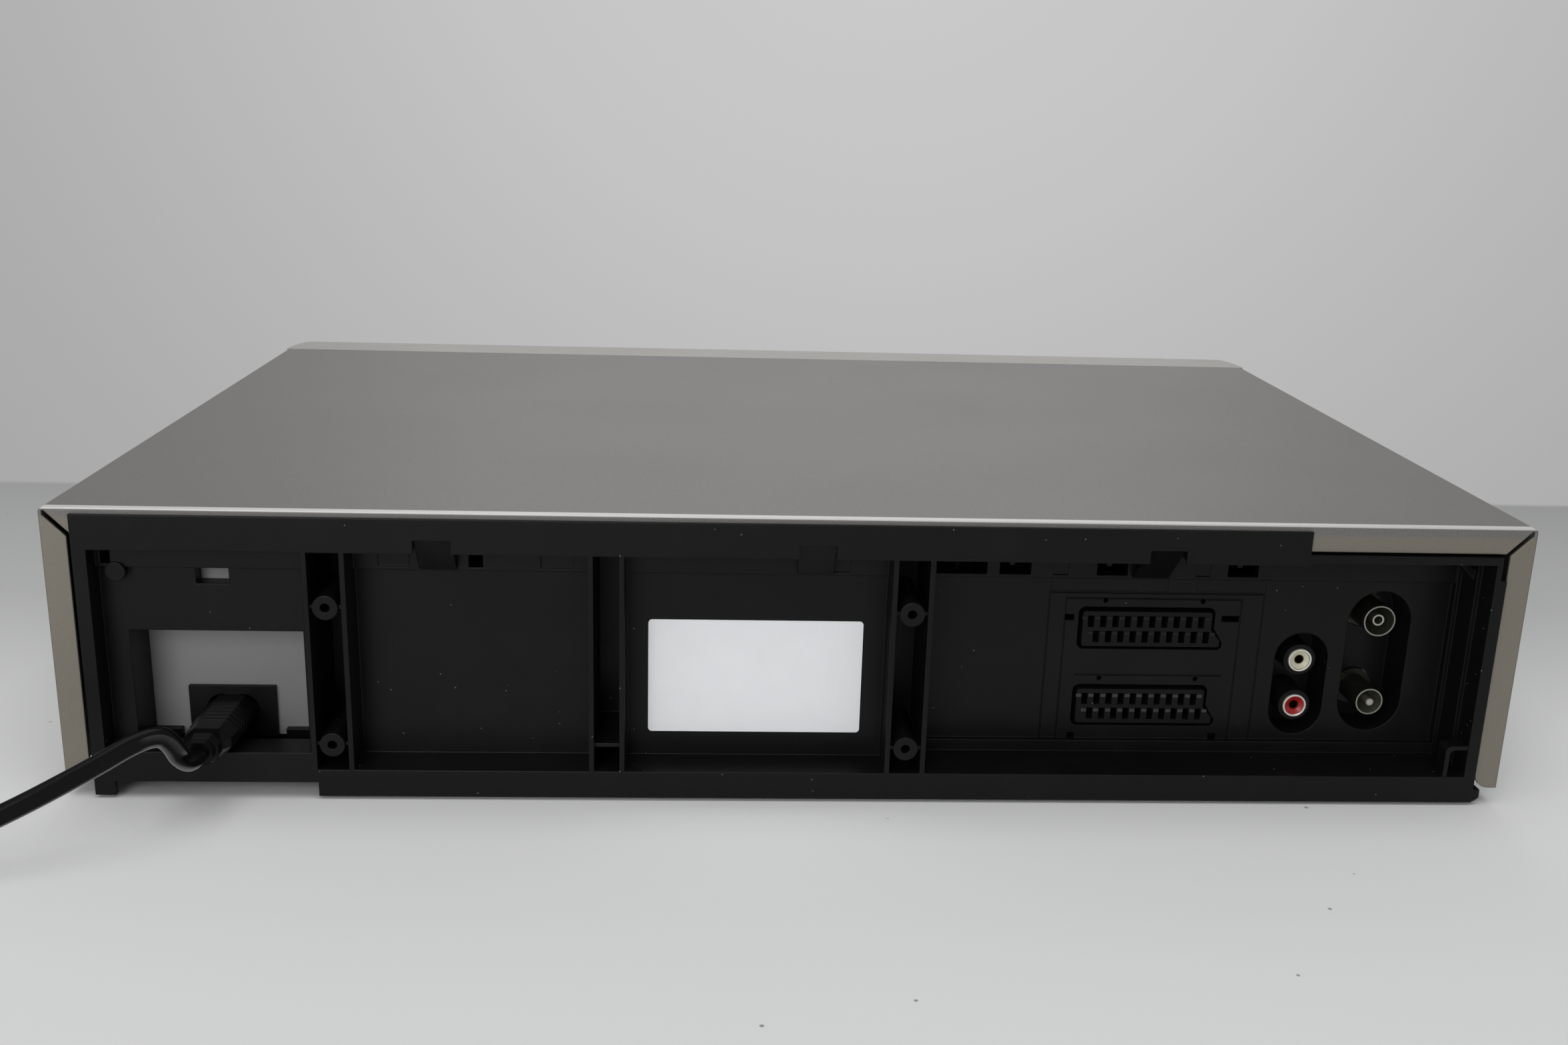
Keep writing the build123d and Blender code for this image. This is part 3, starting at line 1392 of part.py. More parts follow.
def main_board():
    """The wide circuit board under the deck, with its larger chips."""
    board = block(-board_half_width, board_half_width, seam_y + board_front_gap,
                  panel_inner_y - board_rear_gap, board_z, board_top_z)
    for x, y in deck_post_places():
        board -= rod(x, y, board_z, board_top_z, post_radius + post_edge_gap)
    for out, y, width, depth in chip_places:
        chip = Pos(out - board_half_width, y, board_top_z + chip_thickness / 2)
        board += chip * Box(width, depth, chip_thickness)
    return board


# ---- Tape deck -----------------------------------------------------------------------------
def guide_arc():
    """Centre, start angle and sweep of the right-hand carriage's arc, in degrees."""
    x0, y0 = guide_start
    x1, y1 = guide_end
    half = hypot(x1 - x0, y1 - y0) / 2
    rise = (guide_radius ** 2 - half ** 2) ** 0.5
    centre_x = (x0 + x1) / 2 - (y1 - y0) / (2 * half) * rise
    centre_y = (y0 + y1) / 2 + (x1 - x0) / (2 * half) * rise
    start = degrees(atan2(y0 - centre_y, x0 - centre_x))
    sweep = degrees(2 * asin(half / guide_radius))
    return centre_x, centre_y, start, sweep


def guide_slot():
    """The curved slot that the right-hand carriage runs in."""
    centre_x, centre_y, start, sweep = guide_arc()
    arc = CenterArc((centre_x, centre_y), guide_radius, start, sweep)
    return along_z(SlotArc(arc, guide_slot_width), deck_z - 1, deck_top_z + 1)


def pinch_rest():
    """Centre of the pinch roller when its arm is swung clear of the capstan."""
    px, py = pinch_pivot
    touch = capstan_radius + pinch_radius + pinch_gap
    apart = hypot(capstan_x - px, capstan_y - py)
    along = (pinch_reach ** 2 - touch ** 2 + apart ** 2) / (2 * apart)
    across = (pinch_reach ** 2 - along ** 2) ** 0.5
    ux, uy = (capstan_x - px) / apart, (capstan_y - py) / apart
    pressed_x = px + along * ux + across * uy
    pressed_y = py + along * uy - across * ux
    angle = atan2(pressed_y - py, pressed_x - px) - radians(pinch_swing)
    return px + pinch_reach * cos(angle), py + pinch_reach * sin(angle)


def deck_plate():
    """Steel deck with folded sides, curved guide slots, axles and the capstan's bearing."""
    plate = block(-deck_half_width, deck_half_width, deck_front_y, deck_rear_y, deck_z, deck_top_z)
    slot = guide_slot()
    plate -= slot
    plate -= mirrored(slot)
    for x, reach, width, depth in deck_cutouts:
        opening = Pos(x, deck_front_y + reach) * RectangleRounded(width, depth, deck_cutout_corner)
        plate -= along_z(opening, deck_z, deck_top_z)
    front_gap, rear_gap = deck_flange_gaps
    inner = deck_half_width - deck_sheet
    flange = block(inner, deck_half_width, deck_front_y + front_gap, deck_rear_y - rear_gap,
                   deck_z - deck_flange, deck_z)
    plate = plate + flange + mirrored(flange)
    for side in (-1, 1):
        plate += rod(side * reel_spacing / 2, reel_y, deck_z, deck_top_z + reel_axle_height, capstan_radius)
    plate += rod(cam_x, cam_y, deck_z, cam_z + cam_thickness + cam_axle_proud, cam_axle_radius)
    plate += rod(*pinch_pivot, deck_z, deck_top_z + pinch_axle_height, pinch_axle_radius)
    plate += rod(*tension_pivot, deck_z, deck_top_z + tension_axle_height, tension_axle_radius)
    bearing_low, bearing_high = capstan_bearing
    plate += rod(capstan_x, capstan_y, deck_z - bearing_low, deck_top_z + bearing_high,
                 capstan_bearing_radius)
    plate -= rod(capstan_x, capstan_y, 0, top_z, capstan_radius + running_gap)
    plate -= rod(0, reel_pulley_y, 0, top_z, capstan_radius + running_gap)
    for x, reach in tape_posts:
        plate += rod(x, drum_y + reach, deck_top_z, drum_mid_z + tape_post_height, tape_post_radius)
    return plate


def drum_place():
    """The tilted frame of the head drum: its middle plane's centre."""
    return Pos(0, drum_y, drum_mid_z) * Rot(drum_tilt, 0, 0)


def lower_drum():
    """Fixed lower drum with its shaft, tape ledge and cast base on the deck."""
    low = Pos(0, 0, -(drum_half_height + drum_gap) / 2) * Cylinder(drum_radius, drum_half_height - drum_gap)
    ledge_z = drum_ledge_height / 2 - drum_half_height
    ledge = Pos(0, 0, ledge_z) * Cylinder(drum_radius + drum_ledge, drum_ledge_height)
    shaft = Pos(0, 0, drum_half_height / 2) * Cylinder(drum_shaft_radius, drum_half_height + drum_shaft_proud)
    base = rod(0, drum_y, deck_top_z, drum_mid_z - drum_half_height / 2, drum_radius - drum_base_step)
    width, front, rear, height = drum_foot
    foot = block(-width / 2, width / 2, drum_y - front, drum_y + rear, deck_top_z, deck_top_z + height)
    return drum_place() * (low + ledge + shaft) + base + foot


def upper_drum():
    """Rotating upper drum: dished top, hub with screws, and four head windows at its lower rim."""
    height = drum_half_height - drum_gap
    drum = Pos(0, 0, drum_gap + height / 2) * Cylinder(drum_radius, height)
    dish = Pos(0, 0, drum_gap + height) * Cylinder(drum_radius - drum_rim, 2 * drum_dish)
    hub_radius, hub_height = drum_hub
    hub = Pos(0, 0, drum_gap + height - hub_height / 2) * Cylinder(hub_radius, hub_height)
    drum = drum - dish + hub
    drum -= Cylinder(drum_shaft_radius + running_gap, 3 * height)
    depth, width, window_height = head_window
    screw_place, hole_radius, hole_depth = drum_screw
    for number in range(4):
        turn = Rot(0, 0, 45 + 90 * number)
        drum -= turn * Pos(drum_radius, 0, drum_gap + window_height / 2) * Box(depth, width, window_height)
        drum -= turn * Pos(screw_place, 0, drum_gap + height) * Cylinder(hole_radius, hole_depth)
    return drum_place() * drum


def head_block(x, reach, facing, width):
    """A fixed head on its bracket, turned to face the tape."""
    place = Pos(x, drum_y + reach, deck_top_z) * Rot(0, 0, facing)
    depth, height, side = head_bracket
    bracket = Pos(0, 0, height / 2) * Box(width + side, depth, height)
    depth, height, corner = head_size
    lift = drum_mid_z - deck_top_z - head_drop
    head = Pos(0, corner / 4, lift) * Box(width, depth, height)
    head = fillet(head.edges().filter_by(Axis.Z).sort_by(Axis.Y)[-2:], corner)
    return place * (bracket + head)


def capstan():
    """Capstan shaft with its flywheel and belt pulley below the deck."""
    wheel_z = flywheel_top_z - flywheel_thickness
    dish_z = flywheel_top_z - flywheel_dish
    shaft = rod(capstan_x, capstan_y, wheel_z, capstan_top_z, capstan_radius)
    wheel = rod(capstan_x, capstan_y, wheel_z, flywheel_top_z, flywheel_radius)
    wheel -= rod(capstan_x, capstan_y, dish_z, flywheel_top_z, flywheel_radius - flywheel_rim)
    wheel += rod(capstan_x, capstan_y, dish_z, flywheel_top_z, flywheel_hub_radius)
    pulley = rod(capstan_x, capstan_y, pulley_z0, wheel_z, capstan_pulley_radius)
    return shaft + wheel + pulley


def reel_pulley():
    """Belt pulley, shaft and pinion that drive the idler."""
    pulley = rod(0, reel_pulley_y, pulley_z0, pulley_z0 + pulley_thickness, reel_pulley_radius)
    shaft = rod(0, reel_pulley_y, pulley_z0, gear_z0 + idler_thickness + 1, capstan_radius)
    pinion = Pos(0, reel_pulley_y) * gear_outline(idler_teeth, pinion_radius)
    return pulley + shaft + along_z(pinion, gear_z0, gear_z0 + idler_thickness)


def drive_belt():
    """Rubber belt from the capstan's pulley to the reel drive pulley."""
    gap = 2 * running_gap
    loops = []
    for grow in (gap + belt_thickness, gap):
        near = Pos(capstan_x, capstan_y) * Circle(capstan_pulley_radius + grow)
        far = Pos(0, reel_pulley_y) * Circle(reel_pulley_radius + grow)
        hull = make_hull((near + far).edges())
        loops.append(along_z(hull, pulley_z0 + belt_margin, pulley_z0 + pulley_thickness - belt_margin))
    return loops[0] - loops[1]


def pinch_arm():
    """Lever that swings the pinch roller against the capstan."""
    px, py = pinch_pivot
    rx, ry = pinch_rest()
    low = deck_top_z + pinch_arm_lift
    angle = degrees(atan2(ry - py, rx - px))
    bar = Pos((px + rx) / 2, (py + ry) / 2) * Rot(0, 0, angle) * SlotCenterToCenter(pinch_reach, lever_width)
    hub_top = deck_top_z + pinch_axle_height - 1
    arm = along_z(bar, low, low + pinch_arm_thickness) + rod(px, py, low, hub_top, lever_width / 2)
    arm += rod(rx, ry, low, capstan_top_z + 1, pinch_pin_radius)
    return arm - rod(px, py, 0, top_z, pinch_axle_radius + running_gap)


def pinch_roller():
    """Rubber roller on the pinch arm's pin."""
    rx, ry = pinch_rest()
    low = deck_top_z + pinch_arm_lift + 2 * pinch_arm_thickness
    roller = rod(rx, ry, low, capstan_top_z - 1, pinch_radius)
    return roller - rod(rx, ry, 0, top_z, pinch_pin_radius + running_gap)


def reel_table(side):
    """Toothed reel table with a seat and a splined spindle."""
    place = Pos(side * reel_spacing / 2, reel_y)
    seat_z = gear_z0 + reel_gear_thickness
    gear = along_z(place * gear_outline(reel_gear_teeth, reel_gear_radius), gear_z0, seat_z)
    seat = along_z(place * Circle(reel_seat_radius), seat_z, seat_z + reel_seat_thickness)
    spindle = along_z(place * Circle(reel_spindle_radius), seat_z, seat_z + reel_spindle_height)
    reel = gear + seat + spindle
    depth, width, drop = reel_fin
    for number in range(3):
        fin = Rot(0, 0, 120 * number) * Pos(reel_spindle_radius + depth / 5, 0) * Rectangle(depth, width)
        reel += along_z(place * fin, seat_z, seat_z + reel_spindle_height - drop)
    hub = along_z(place * Circle(lever_width / 2), deck_top_z + guide_clearance, gear_z0)
    axle = place * Circle(capstan_radius + running_gap)
    return reel + hub - along_z(axle, deck_top_z, deck_top_z + reel_axle_height + 1)


def idler_arm():
    """Swinging arm that carries the idler gear between the reels."""
    low = deck_top_z + guide_clearance
    end_y = reel_pulley_y - idler_reach
    bar = Pos(0, (reel_pulley_y + end_y) / 2) * Rot(0, 0, 90) * SlotCenterToCenter(idler_reach, lever_width)
    arm = along_z(bar, low, low + 1) - rod(0, reel_pulley_y, 0, top_z, capstan_radius + running_gap)
    return arm + rod(0, end_y, low, gear_z0 + idler_thickness + 1.2, capstan_radius)


def idler_gear():
    """Idler gear on the swinging arm."""
    end_y = reel_pulley_y - idler_reach
    half_tooth = 180 / idler_teeth
    gear = Pos(0, end_y) * Rot(0, 0, half_tooth) * gear_outline(idler_teeth, idler_radius)
    gear = along_z(gear, gear_z0, gear_z0 + idler_thickness)
    return gear - rod(0, end_y, 0, top_z, capstan_radius + running_gap)


def tension_arm():
    """Sprung lever with the tape tension post."""
    tx, ty = tension_pivot
    low = deck_top_z + tension_arm_lift
    bar = Pos(tx + tension_reach / 2, ty) * SlotCenterToCenter(tension_reach, tension_arm_width)
    arm = along_z(bar, low, low + tension_arm_thickness)
    arm += rod(tx, ty, low, deck_top_z + tension_axle_height - 1, tension_arm_width / 2)
    arm += rod(tx + tension_reach, ty, low, drum_mid_z + tension_post_height, tension_post_radius)
    return arm - rod(tx, ty, 0, top_z, tension_axle_radius + running_gap)


def guide_carriage():
    """Right-hand carriage: foot under the slot, base, upright roller post and slanted post."""
    x, y = guide_start
    base_low = deck_top_z + guide_clearance
    base_radius, base_height = guide_base
    base_top = base_low + base_height
    clip_top = deck_z - guide_clearance
    clip_radius, clip_thickness = guide_clip
    base = rod(x, y, base_low, base_top, base_radius)
    neck = rod(x, y, clip_top - clip_thickness, base_low, guide_slot_width / 2 - guide_clearance)
    clip = rod(x, y, clip_top - clip_thickness, clip_top, clip_radius)
    roller_radius, shift, rise = guide_roller
    roller_top = drum_mid_z + rise
    roller = rod(x + shift, y, base_top, roller_top, roller_radius)
    waist = rod(x + shift, y, roller_top, roller_top + roller_radius / 2, roller_radius / 2)
    slant_radius, slant_shift, lean, length = guide_slant
    slant = Pos(x - slant_shift, y, base_low + length * 0.6) * Rot(0, -lean, 0)
    slant *= Cylinder(slant_radius, length)
    return base + neck + clip + roller + waist + slant


def cam_gear():
    """Main cam: toothed rim for the worm and a groove in its top face."""
    place = Pos(cam_x, cam_y)
    top = cam_z + cam_thickness
    cam = along_z(place * gear_outline(cam_teeth, cam_radius), cam_z, top)
    outer, inner, shift, depth = cam_groove
    groove = place * Pos(shift, 0) * (Circle(outer) - Circle(inner))
    cam -= along_z(groove, top - depth, top)
    cam += rod(cam_x, cam_y, deck_top_z + guide_clearance, top + 1, cam_hub_radius)
    return cam - rod(cam_x, cam_y, 0, top_z, cam_axle_radius + running_gap)


worm_x = cam_x - cam_radius - worm_radius - worm_gap
worm_z = cam_z + cam_thickness / 2


def along_motor(start_y, end_y, radius):
    """A round bar on the loading motor's axis."""
    middle = Pos(worm_x, (start_y + end_y) / 2, worm_z) * Rot(90, 0, 0)
    return middle * Cylinder(radius, end_y - start_y)


def worm():
    """Worm on the loading motor's shaft, with rounded ridges."""
    pitch = worm_length / worm_ridges
    root = worm_radius - worm_ridge
    bore = motor_shaft_radius + running_gap
    points = [(bore, 0), (root, 0)]
    for number in range(worm_ridges):
        for reach, share in ((root, 0.2), (worm_radius, 0.35), (worm_radius, 0.6), (root, 0.75)):
            points.append((reach, (number + share) * pitch))
    points += [(root, worm_length), (bore, worm_length)]
    thread = revolve(Plane.XZ * outline(*points), axis=Axis.Z)
    return Pos(worm_x, cam_y - worm_length / 2, worm_z) * Rot(-90, 0, 0) * thread


def loading_motor():
    """Small motor on a foot, with its shaft through the worm."""
    face_y = motor_front_y + motor_length
    can = along_motor(motor_front_y, face_y, motor_radius)
    collar = along_motor(face_y, face_y + motor_gap / 2, worm_radius)
    shaft = along_motor(face_y, cam_y + worm_length / 2 + 1, motor_shaft_radius)
    foot = block(worm_x - motor_radius, worm_x + motor_radius - 1, motor_front_y + motor_foot_inset,
                 face_y - motor_foot_inset, deck_top_z, worm_z - motor_radius + motor_foot_lap)
    return can + collar + shaft + foot


# ---- Cassette housing ----------------------------------------------------------------------
def pin_ys():
    """Y of the holder's two guide pins when it is at the front."""
    return [holder_front_y + place for place in pin_places]


def cassette_holder():
    """Folded sheet basket: top with a window, sides, two ledges and guide pins."""
    half = holder_half_width
    low = holder_up_z
    high = holder_up_z + holder_outer_height
    wall = holder_sheet
    basket = block(-half, half, holder_front_y, holder_rear_y, low, high)
    basket -= block(-half + wall, half - wall, holder_front_y, holder_rear_y, low + wall, high - wall)
    basket -= block(-half + holder_ledge, half - holder_ledge, holder_front_y, holder_rear_y, low, low + wall)
    middle = (holder_front_y + holder_rear_y) / 2
    basket -= along_z(Pos(0, middle) * RectangleRounded(*holder_window), high - wall, high)
    width, depth, across, along = holder_spring
    tongue = Pos(0, -along) * Rectangle(width - 2 * across, depth)
    for side in (-1, 1):
        slit = Pos(side * holder_spring_x, middle) * (Rectangle(width, depth) - tongue)
        basket -= along_z(slit, high - wall, high)
        reach = carriage_x + carriage_thickness + pin_proud - half
        for y in pin_ys():
            basket += Pos(side * (half + reach / 2), y, pin_z) * Rot(0, 90, 0) * Cylinder(pin_radius, reach)
    return basket


def track_window(y):
    """Opening that a guide pin travels in: back along the top, then down."""
    room = pin_radius + track_clearance
    back = y + holder_travel + room
    low = pin_z - holder_drop - room
    return outline((y - room, pin_z + room), (back, pin_z + room), (back, low), (back - 2 * room, low),
                   (y - room, pin_z - room))


def housing_sides():
    """Two upright side plates on the deck with the holder's tracks and a folded foot."""
    x0 = side_plate_x
    rear = pin_ys()[-1] + holder_travel + side_plate_rear
    top = pin_z + holder_outer_height / 2 + side_plate
    plate = block(x0, x0 + side_plate, holder_front_y, rear, deck_top_z, top)
    for y in pin_ys():
        plate -= along_x(track_window(y), x0 - 1, x0 + side_plate + 1)
    width, front_gap, rear_gap = side_foot
    plate += block(x0, x0 + width, holder_front_y + front_gap, rear - rear_gap, deck_top_z,
                   deck_top_z + side_plate)
    return Compound(children=[plate, mirrored(plate)])


def holder_carriage():
    """Two sliding plates outside the housing, whose upright slots carry the holder's pins."""
    room = pin_radius + track_clearance
    first, last = pin_ys()
    edge = carriage_margin
    x1 = carriage_x + carriage_thickness
    plate = block(carriage_x, x1, first - edge, last + edge, pin_z - holder_drop - edge, pin_z + edge)
    for y in (first, last):
        slot = Pos(y, pin_z - holder_drop / 2) * Rot(0, 0, 90) * SlotOverall(holder_drop + 2 * room, 2 * room)
        plate -= along_x(slot, carriage_x - 1, x1 + 1)
    return Compound(children=[plate, mirrored(plate)])


# ---- Mains lead ----------------------------------------------------------------------------
inlet_face_y = rear_y - power_cover_depth + inlet_proud
connector_end_y = inlet_face_y + connector_clearance + connector_length
inlet_z = cover_z + inlet_centre_height
cord_radius = cord_diameter / 2
coil_outer_radius = coil_mean_radius + coil_turns_across * cord_diameter / 2
coil_inner_radius = coil_mean_radius - coil_turns_across * cord_diameter / 2
coil_lane = coil_outer_radius - cord_radius      # middle of the outermost turn
coil_tail = 0.5 + (coil_outer_radius ** 2 - (coil_outer_radius - cord_diameter) ** 2) ** 0.5
coil_lane_y = coil_centre[1] + coil_lane
coil_lane_x = coil_centre[0] + coil_lane
cord_route = (
    (inlet_x, connector_end_y, inlet_z),
    (inlet_x, connector_end_y + 6.8, inlet_z),
    (174.2, 166.8, 25.2),
    (180.5, 170.6, 28.2),
    (192.5, 178.0, 25.0),
    (213.5, 189.3, 16.6),
    (237.0, 198.5, 8.2),
    (260.5, coil_lane_y, cord_radius),
    (coil_centre[0] - coil_tail, coil_lane_y, cord_radius),
)


def upright_section(x, y, z, section):
    """A rounded rectangle across the Y axis: width, height and corner radius given."""
    return Plane(origin=(x, y, z), x_dir=(1, 0, 0), z_dir=(0, 1, 0)) * RectangleRounded(*section)


def mains_connector():
    """Two-pole connector in the inlet: nose, grip and tapered strain relief."""
    place = Pos(inlet_x, inlet_z)
    nose_back = inlet_face_y - connector_nose
    nose = along_y(place * eight_outline(connector_width, connector_thickness), nose_back,
                   inlet_face_y + connector_clearance)
    for side in (-1, 1):
        bore = Pos(inlet_x + side * inlet_pin_offset, inlet_z) * Circle(inlet_pin_radius + 2 * running_gap)
        nose -= along_y(bore, nose_back, inlet_face_y)
    start = inlet_face_y + connector_clearance
    places = (start, start + connector_length * connector_core, connector_end_y)
    faces = [upright_section(inlet_x, y, inlet_z, section) for y, section in zip(places, connector_sections)]
    return nose + loft(faces[:2]) + loft(faces[1:])


def arc_radii(points):
    """Radius at each corner of the route: 0.45 of the shorter run over the half turn's tangent."""
    radii = []
    for before, corner, after in zip(points, points[1:], points[2:]):
        run_in = Vector(*corner) - Vector(*before)
        run_out = Vector(*after) - Vector(*corner)
        half_turn = radians(run_in.get_angle(run_out)) / 2
        radii.append(0.45 * min(run_in.length, run_out.length) * cos(half_turn) / sin(half_turn))
    return radii


def mains_cord():
    """The uncoiled stretch of the lead, as a round tube as thick as the flat cord is wide."""
    radii = arc_radii(cord_route)
    print("cord radii", [round(radius, 1) for radius in radii])
    path = FilletPolyline(*cord_route, radius=radii)
    start = Plane(origin=cord_route[0], z_dir=path % 0)
    tube = sweep(start * Circle(cord_radius), path=path)
    section = pi * cord_radius ** 2
    print("cord length", round(path.length, 1))
    print("volume share", round(tube.volume / section / path.length, 4))
    turns = coil_turns_across * coil_turns_up - coil_part_turn
    print("lead length", round(path.length + turns * 2 * pi * coil_mean_radius, 1))
    return tube


def mains_cord_coil():
    """The put-away length: the outer shape of a flat round coil."""
    x, y = coil_centre
    ring = rod(x, y, 0, coil_turns_up * cord_diameter, coil_outer_radius)
    ring -= rod(x, y, 0, coil_turns_up * cord_diameter, coil_inner_radius)
    ring = fillet(ring.edges(), 2.0)
    entry = Pos(x - coil_tail / 2, coil_lane_y, cord_radius) * Rot(0, 90, 0)
    leave = Pos(coil_lane_x, y - coil_tail / 2, plug_size[1] / 2) * Rot(90, 0, 0)
    tail = Cylinder(cord_radius - 0.02, coil_tail)
    return ring + entry * tail + leave * tail


def mains_plug():
    """Flat two-pin plug beside the coil, with a tapered relief."""
    x = coil_lane_x
    y = coil_centre[1] - coil_tail
    wide, high = plug_size
    rear = y - relief_length
    front = rear - plug_length
    faces = [upright_section(x, place_y, high / 2, section)
             for place_y, section in zip((y, rear), relief_sections)]
    half = wide / 2
    inner = half - plug_bevel
    hexagon = outline((-inner, 0), (inner, 0), (half, high / 2), (inner, high), (-inner, high),
                      (-half, high / 2))
    plug = loft(faces) + along_y(Pos(x, 0) * hexagon, front, rear)
    for side in (-1, 1):
        pin = Pos(x + side * plug_pin_spacing / 2, high / 2) * Circle(plug_pin_radius)
        plug += along_y(pin, front - plug_pin_length, front)
    return plug


# ---- Assembly ------------------------------------------------------------------------------
def assembly():
    """Every node of the recorder by name."""
    nodes = {
        "top_cover": top_cover(), "cover_screws": cover_screws(), "base_tray": base_tray(),
        "rear_panel": rear_panel(), "bottom_plate": bottom_plate(), "feet": feet(),
        "front_panel": front_panel(), "display_window": display_window(), "display_tube": display_tube(),
        "front_board": front_board(), "cassette_flap": cassette_flap(), "main_board": main_board(),
        "power_cover": power_cover(), "mains_inlet": mains_inlet(), "transformer": transformer(),
        "capacitors": capacitors(), "heat_sink": heat_sink(),
        "scart_socket_upper": scart_socket(scart_heights[1], lower_socket_top_z),
        "scart_socket_lower": scart_socket(scart_heights[0], board_top_z),
        "jack_block": jack_block(), "jack_white": jack_insert(jack_centres()[1]),
        "jack_red": jack_insert(jack_centres()[0]),
        "tuner_can": tuner_can(), "aerial_in_socket": aerial_in_socket(),
        "aerial_out_plug": aerial_out_plug(),
        "rating_label": rating_label(), "deck_plate": deck_plate(), "lower_drum": lower_drum(),
        "upper_drum": upper_drum(), "erase_head": head_block(*erase_head_place),
        "control_head": head_block(*control_head_place), "capstan": capstan(),
        "reel_pulley": reel_pulley(), "drive_belt": drive_belt(), "pinch_arm": pinch_arm(),
        "pinch_roller": pinch_roller(), "supply_reel": reel_table(-1), "takeup_reel": reel_table(1),
        "idler_arm": idler_arm(), "idler_gear": idler_gear(), "tension_arm": tension_arm(),
        "guide_right": guide_carriage(), "guide_left": mirrored(guide_carriage()), "cam_gear": cam_gear(),
        "worm": worm(), "loading_motor": loading_motor(), "housing_sides": housing_sides(),
        "holder_carriage": holder_carriage(), "cassette_holder": cassette_holder(),
        "mains_connector": mains_connector(), "mains_cord": mains_cord(),
        "mains_cord_coil": mains_cord_coil(), "mains_plug": mains_plug(),
    }
    for name in button_shapes():
        nodes[f"{name}_button"] = button(name)
    return nodes


os.makedirs("parts", exist_ok=True)
for name, shape in assembly().items():
    export_step(shape, f"parts/{name}.step")
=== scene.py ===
"""Video cassette recorder seen from behind: sheet cover, ribbed rear moulding, sockets and mains lead.

Numbers are metres in the model's own frame where nothing else is said. The rear faces +Y, the front -Y, and
the feet stand on Z = 0.
"""
import json
import math

import bmesh
import bpy
from mathutils import Euler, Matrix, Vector


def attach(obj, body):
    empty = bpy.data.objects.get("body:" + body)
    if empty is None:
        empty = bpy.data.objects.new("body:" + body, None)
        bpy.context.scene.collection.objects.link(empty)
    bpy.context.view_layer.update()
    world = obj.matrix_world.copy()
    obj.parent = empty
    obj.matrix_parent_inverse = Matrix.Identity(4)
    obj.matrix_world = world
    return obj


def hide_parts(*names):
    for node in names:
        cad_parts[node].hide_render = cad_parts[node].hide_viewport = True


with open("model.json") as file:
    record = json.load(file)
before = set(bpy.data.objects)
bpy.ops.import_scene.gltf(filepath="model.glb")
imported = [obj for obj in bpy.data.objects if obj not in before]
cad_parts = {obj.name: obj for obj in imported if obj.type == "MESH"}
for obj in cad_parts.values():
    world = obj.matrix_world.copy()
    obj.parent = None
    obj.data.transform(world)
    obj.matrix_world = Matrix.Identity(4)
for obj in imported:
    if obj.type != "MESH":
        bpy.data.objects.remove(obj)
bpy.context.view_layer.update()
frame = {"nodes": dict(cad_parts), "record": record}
nodes = frame["nodes"]
scene = bpy.context.scene
MM = 0.001


# ---- Camera ------------------------------------------------------------------------------------
CAMERA_PLACE = (0.02872, 0.56813, 0.20853)
CAMERA_ANGLES = (74.103, -1.595, 177.453)  # degrees
SENSOR_WIDTH = 36.0  # millimetres, as the lens
LENS = 35.53
NEAREST_SEEN = 0.02
FARTHEST_SEEN = 30.0


def add_camera():
    """Camera behind the recorder, a little to the mains side of its middle."""
    data = bpy.data.cameras.new("camera")
    data.sensor_width = SENSOR_WIDTH
    data.lens = LENS
    data.clip_start = NEAREST_SEEN
    data.clip_end = FARTHEST_SEEN
    camera = bpy.data.objects.new("camera", data)
    camera.location = CAMERA_PLACE
    camera.rotation_euler = Euler([math.radians(angle) for angle in CAMERA_ANGLES])
    scene.collection.objects.link(camera)
    scene.camera = camera


add_camera()


# ---- Mesh helpers ------------------------------------------------------------------------------
LINE_ORDER = 3
LINE_STEPS = 10
TURNED_STEPS = 48
TURNED_CREASE = 35.0  # degrees
MERGE_DISTANCE = 1e-7


def piece(name, verts, faces, smooth=False):
    """A mesh object made from points and faces."""
    mesh = bpy.data.meshes.new(name)
    mesh.from_pydata([tuple(v) for v in verts], [], faces)
    mesh.validate()
    mesh.update()
    if smooth:
        mesh.shade_smooth()
    shape = bpy.data.objects.new(name, mesh)
    scene.collection.objects.link(shape)
    return shape


def facing_out(shape, merge=0.0):
    """The closed piece with its faces turned outwards, after points nearer than merge are made one."""
    solid = bmesh.new()
    solid.from_mesh(shape.data)
    if merge > 0.0:
        bmesh.ops.remove_doubles(solid, verts=solid.verts, dist=merge)
    bmesh.ops.recalc_face_normals(solid, faces=solid.faces)
    solid.to_mesh(shape.data)
    solid.free()
    return shape


def side_faces(rings, around):
    """Faces between a stack of rings that have that many points each."""
    faces = []
    for ring in range(rings - 1):
        for k in range(around):
            a = ring * around + k
            b = ring * around + (k + 1) % around
            faces.append((a, b, b + around, a + around))
    return faces


def end_faces(rings, around):
    """The first and the last ring of a stack as faces that close it."""
    last = (rings - 1) * around
    return [tuple(reversed(range(around))), tuple(last + k for k in range(around))]


def baked(holder):
    """The mesh that a holder object comes out as, with the holder taken away."""
    depsgraph = bpy.context.evaluated_depsgraph_get()
    mesh = bpy.data.meshes.new_from_object(holder.evaluated_get(depsgraph))
    bpy.data.objects.remove(holder)
    return mesh


def line_of(points, name):
    """Points along a smooth open spline that follows the control points."""
    curve = bpy.data.curves.new(name, "CURVE")
    curve.dimensions = "3D"
    curve.resolution_u = LINE_STEPS
    spline = curve.splines.new("NURBS")
    spline.points.add(len(points) - 1)
    for control, place in zip(spline.points, points):
        control.co = (*place, 1.0)
    spline.order_u = LINE_ORDER
    spline.use_endpoint_u = True
    holder = bpy.data.objects.new(name, curve)
    scene.collection.objects.link(holder)
    sampled = baked(holder)
    path = [Vector(v.co) for v in sampled.vertices]
    bpy.data.meshes.remove(sampled)
    bpy.data.curves.remove(curve)
    return path


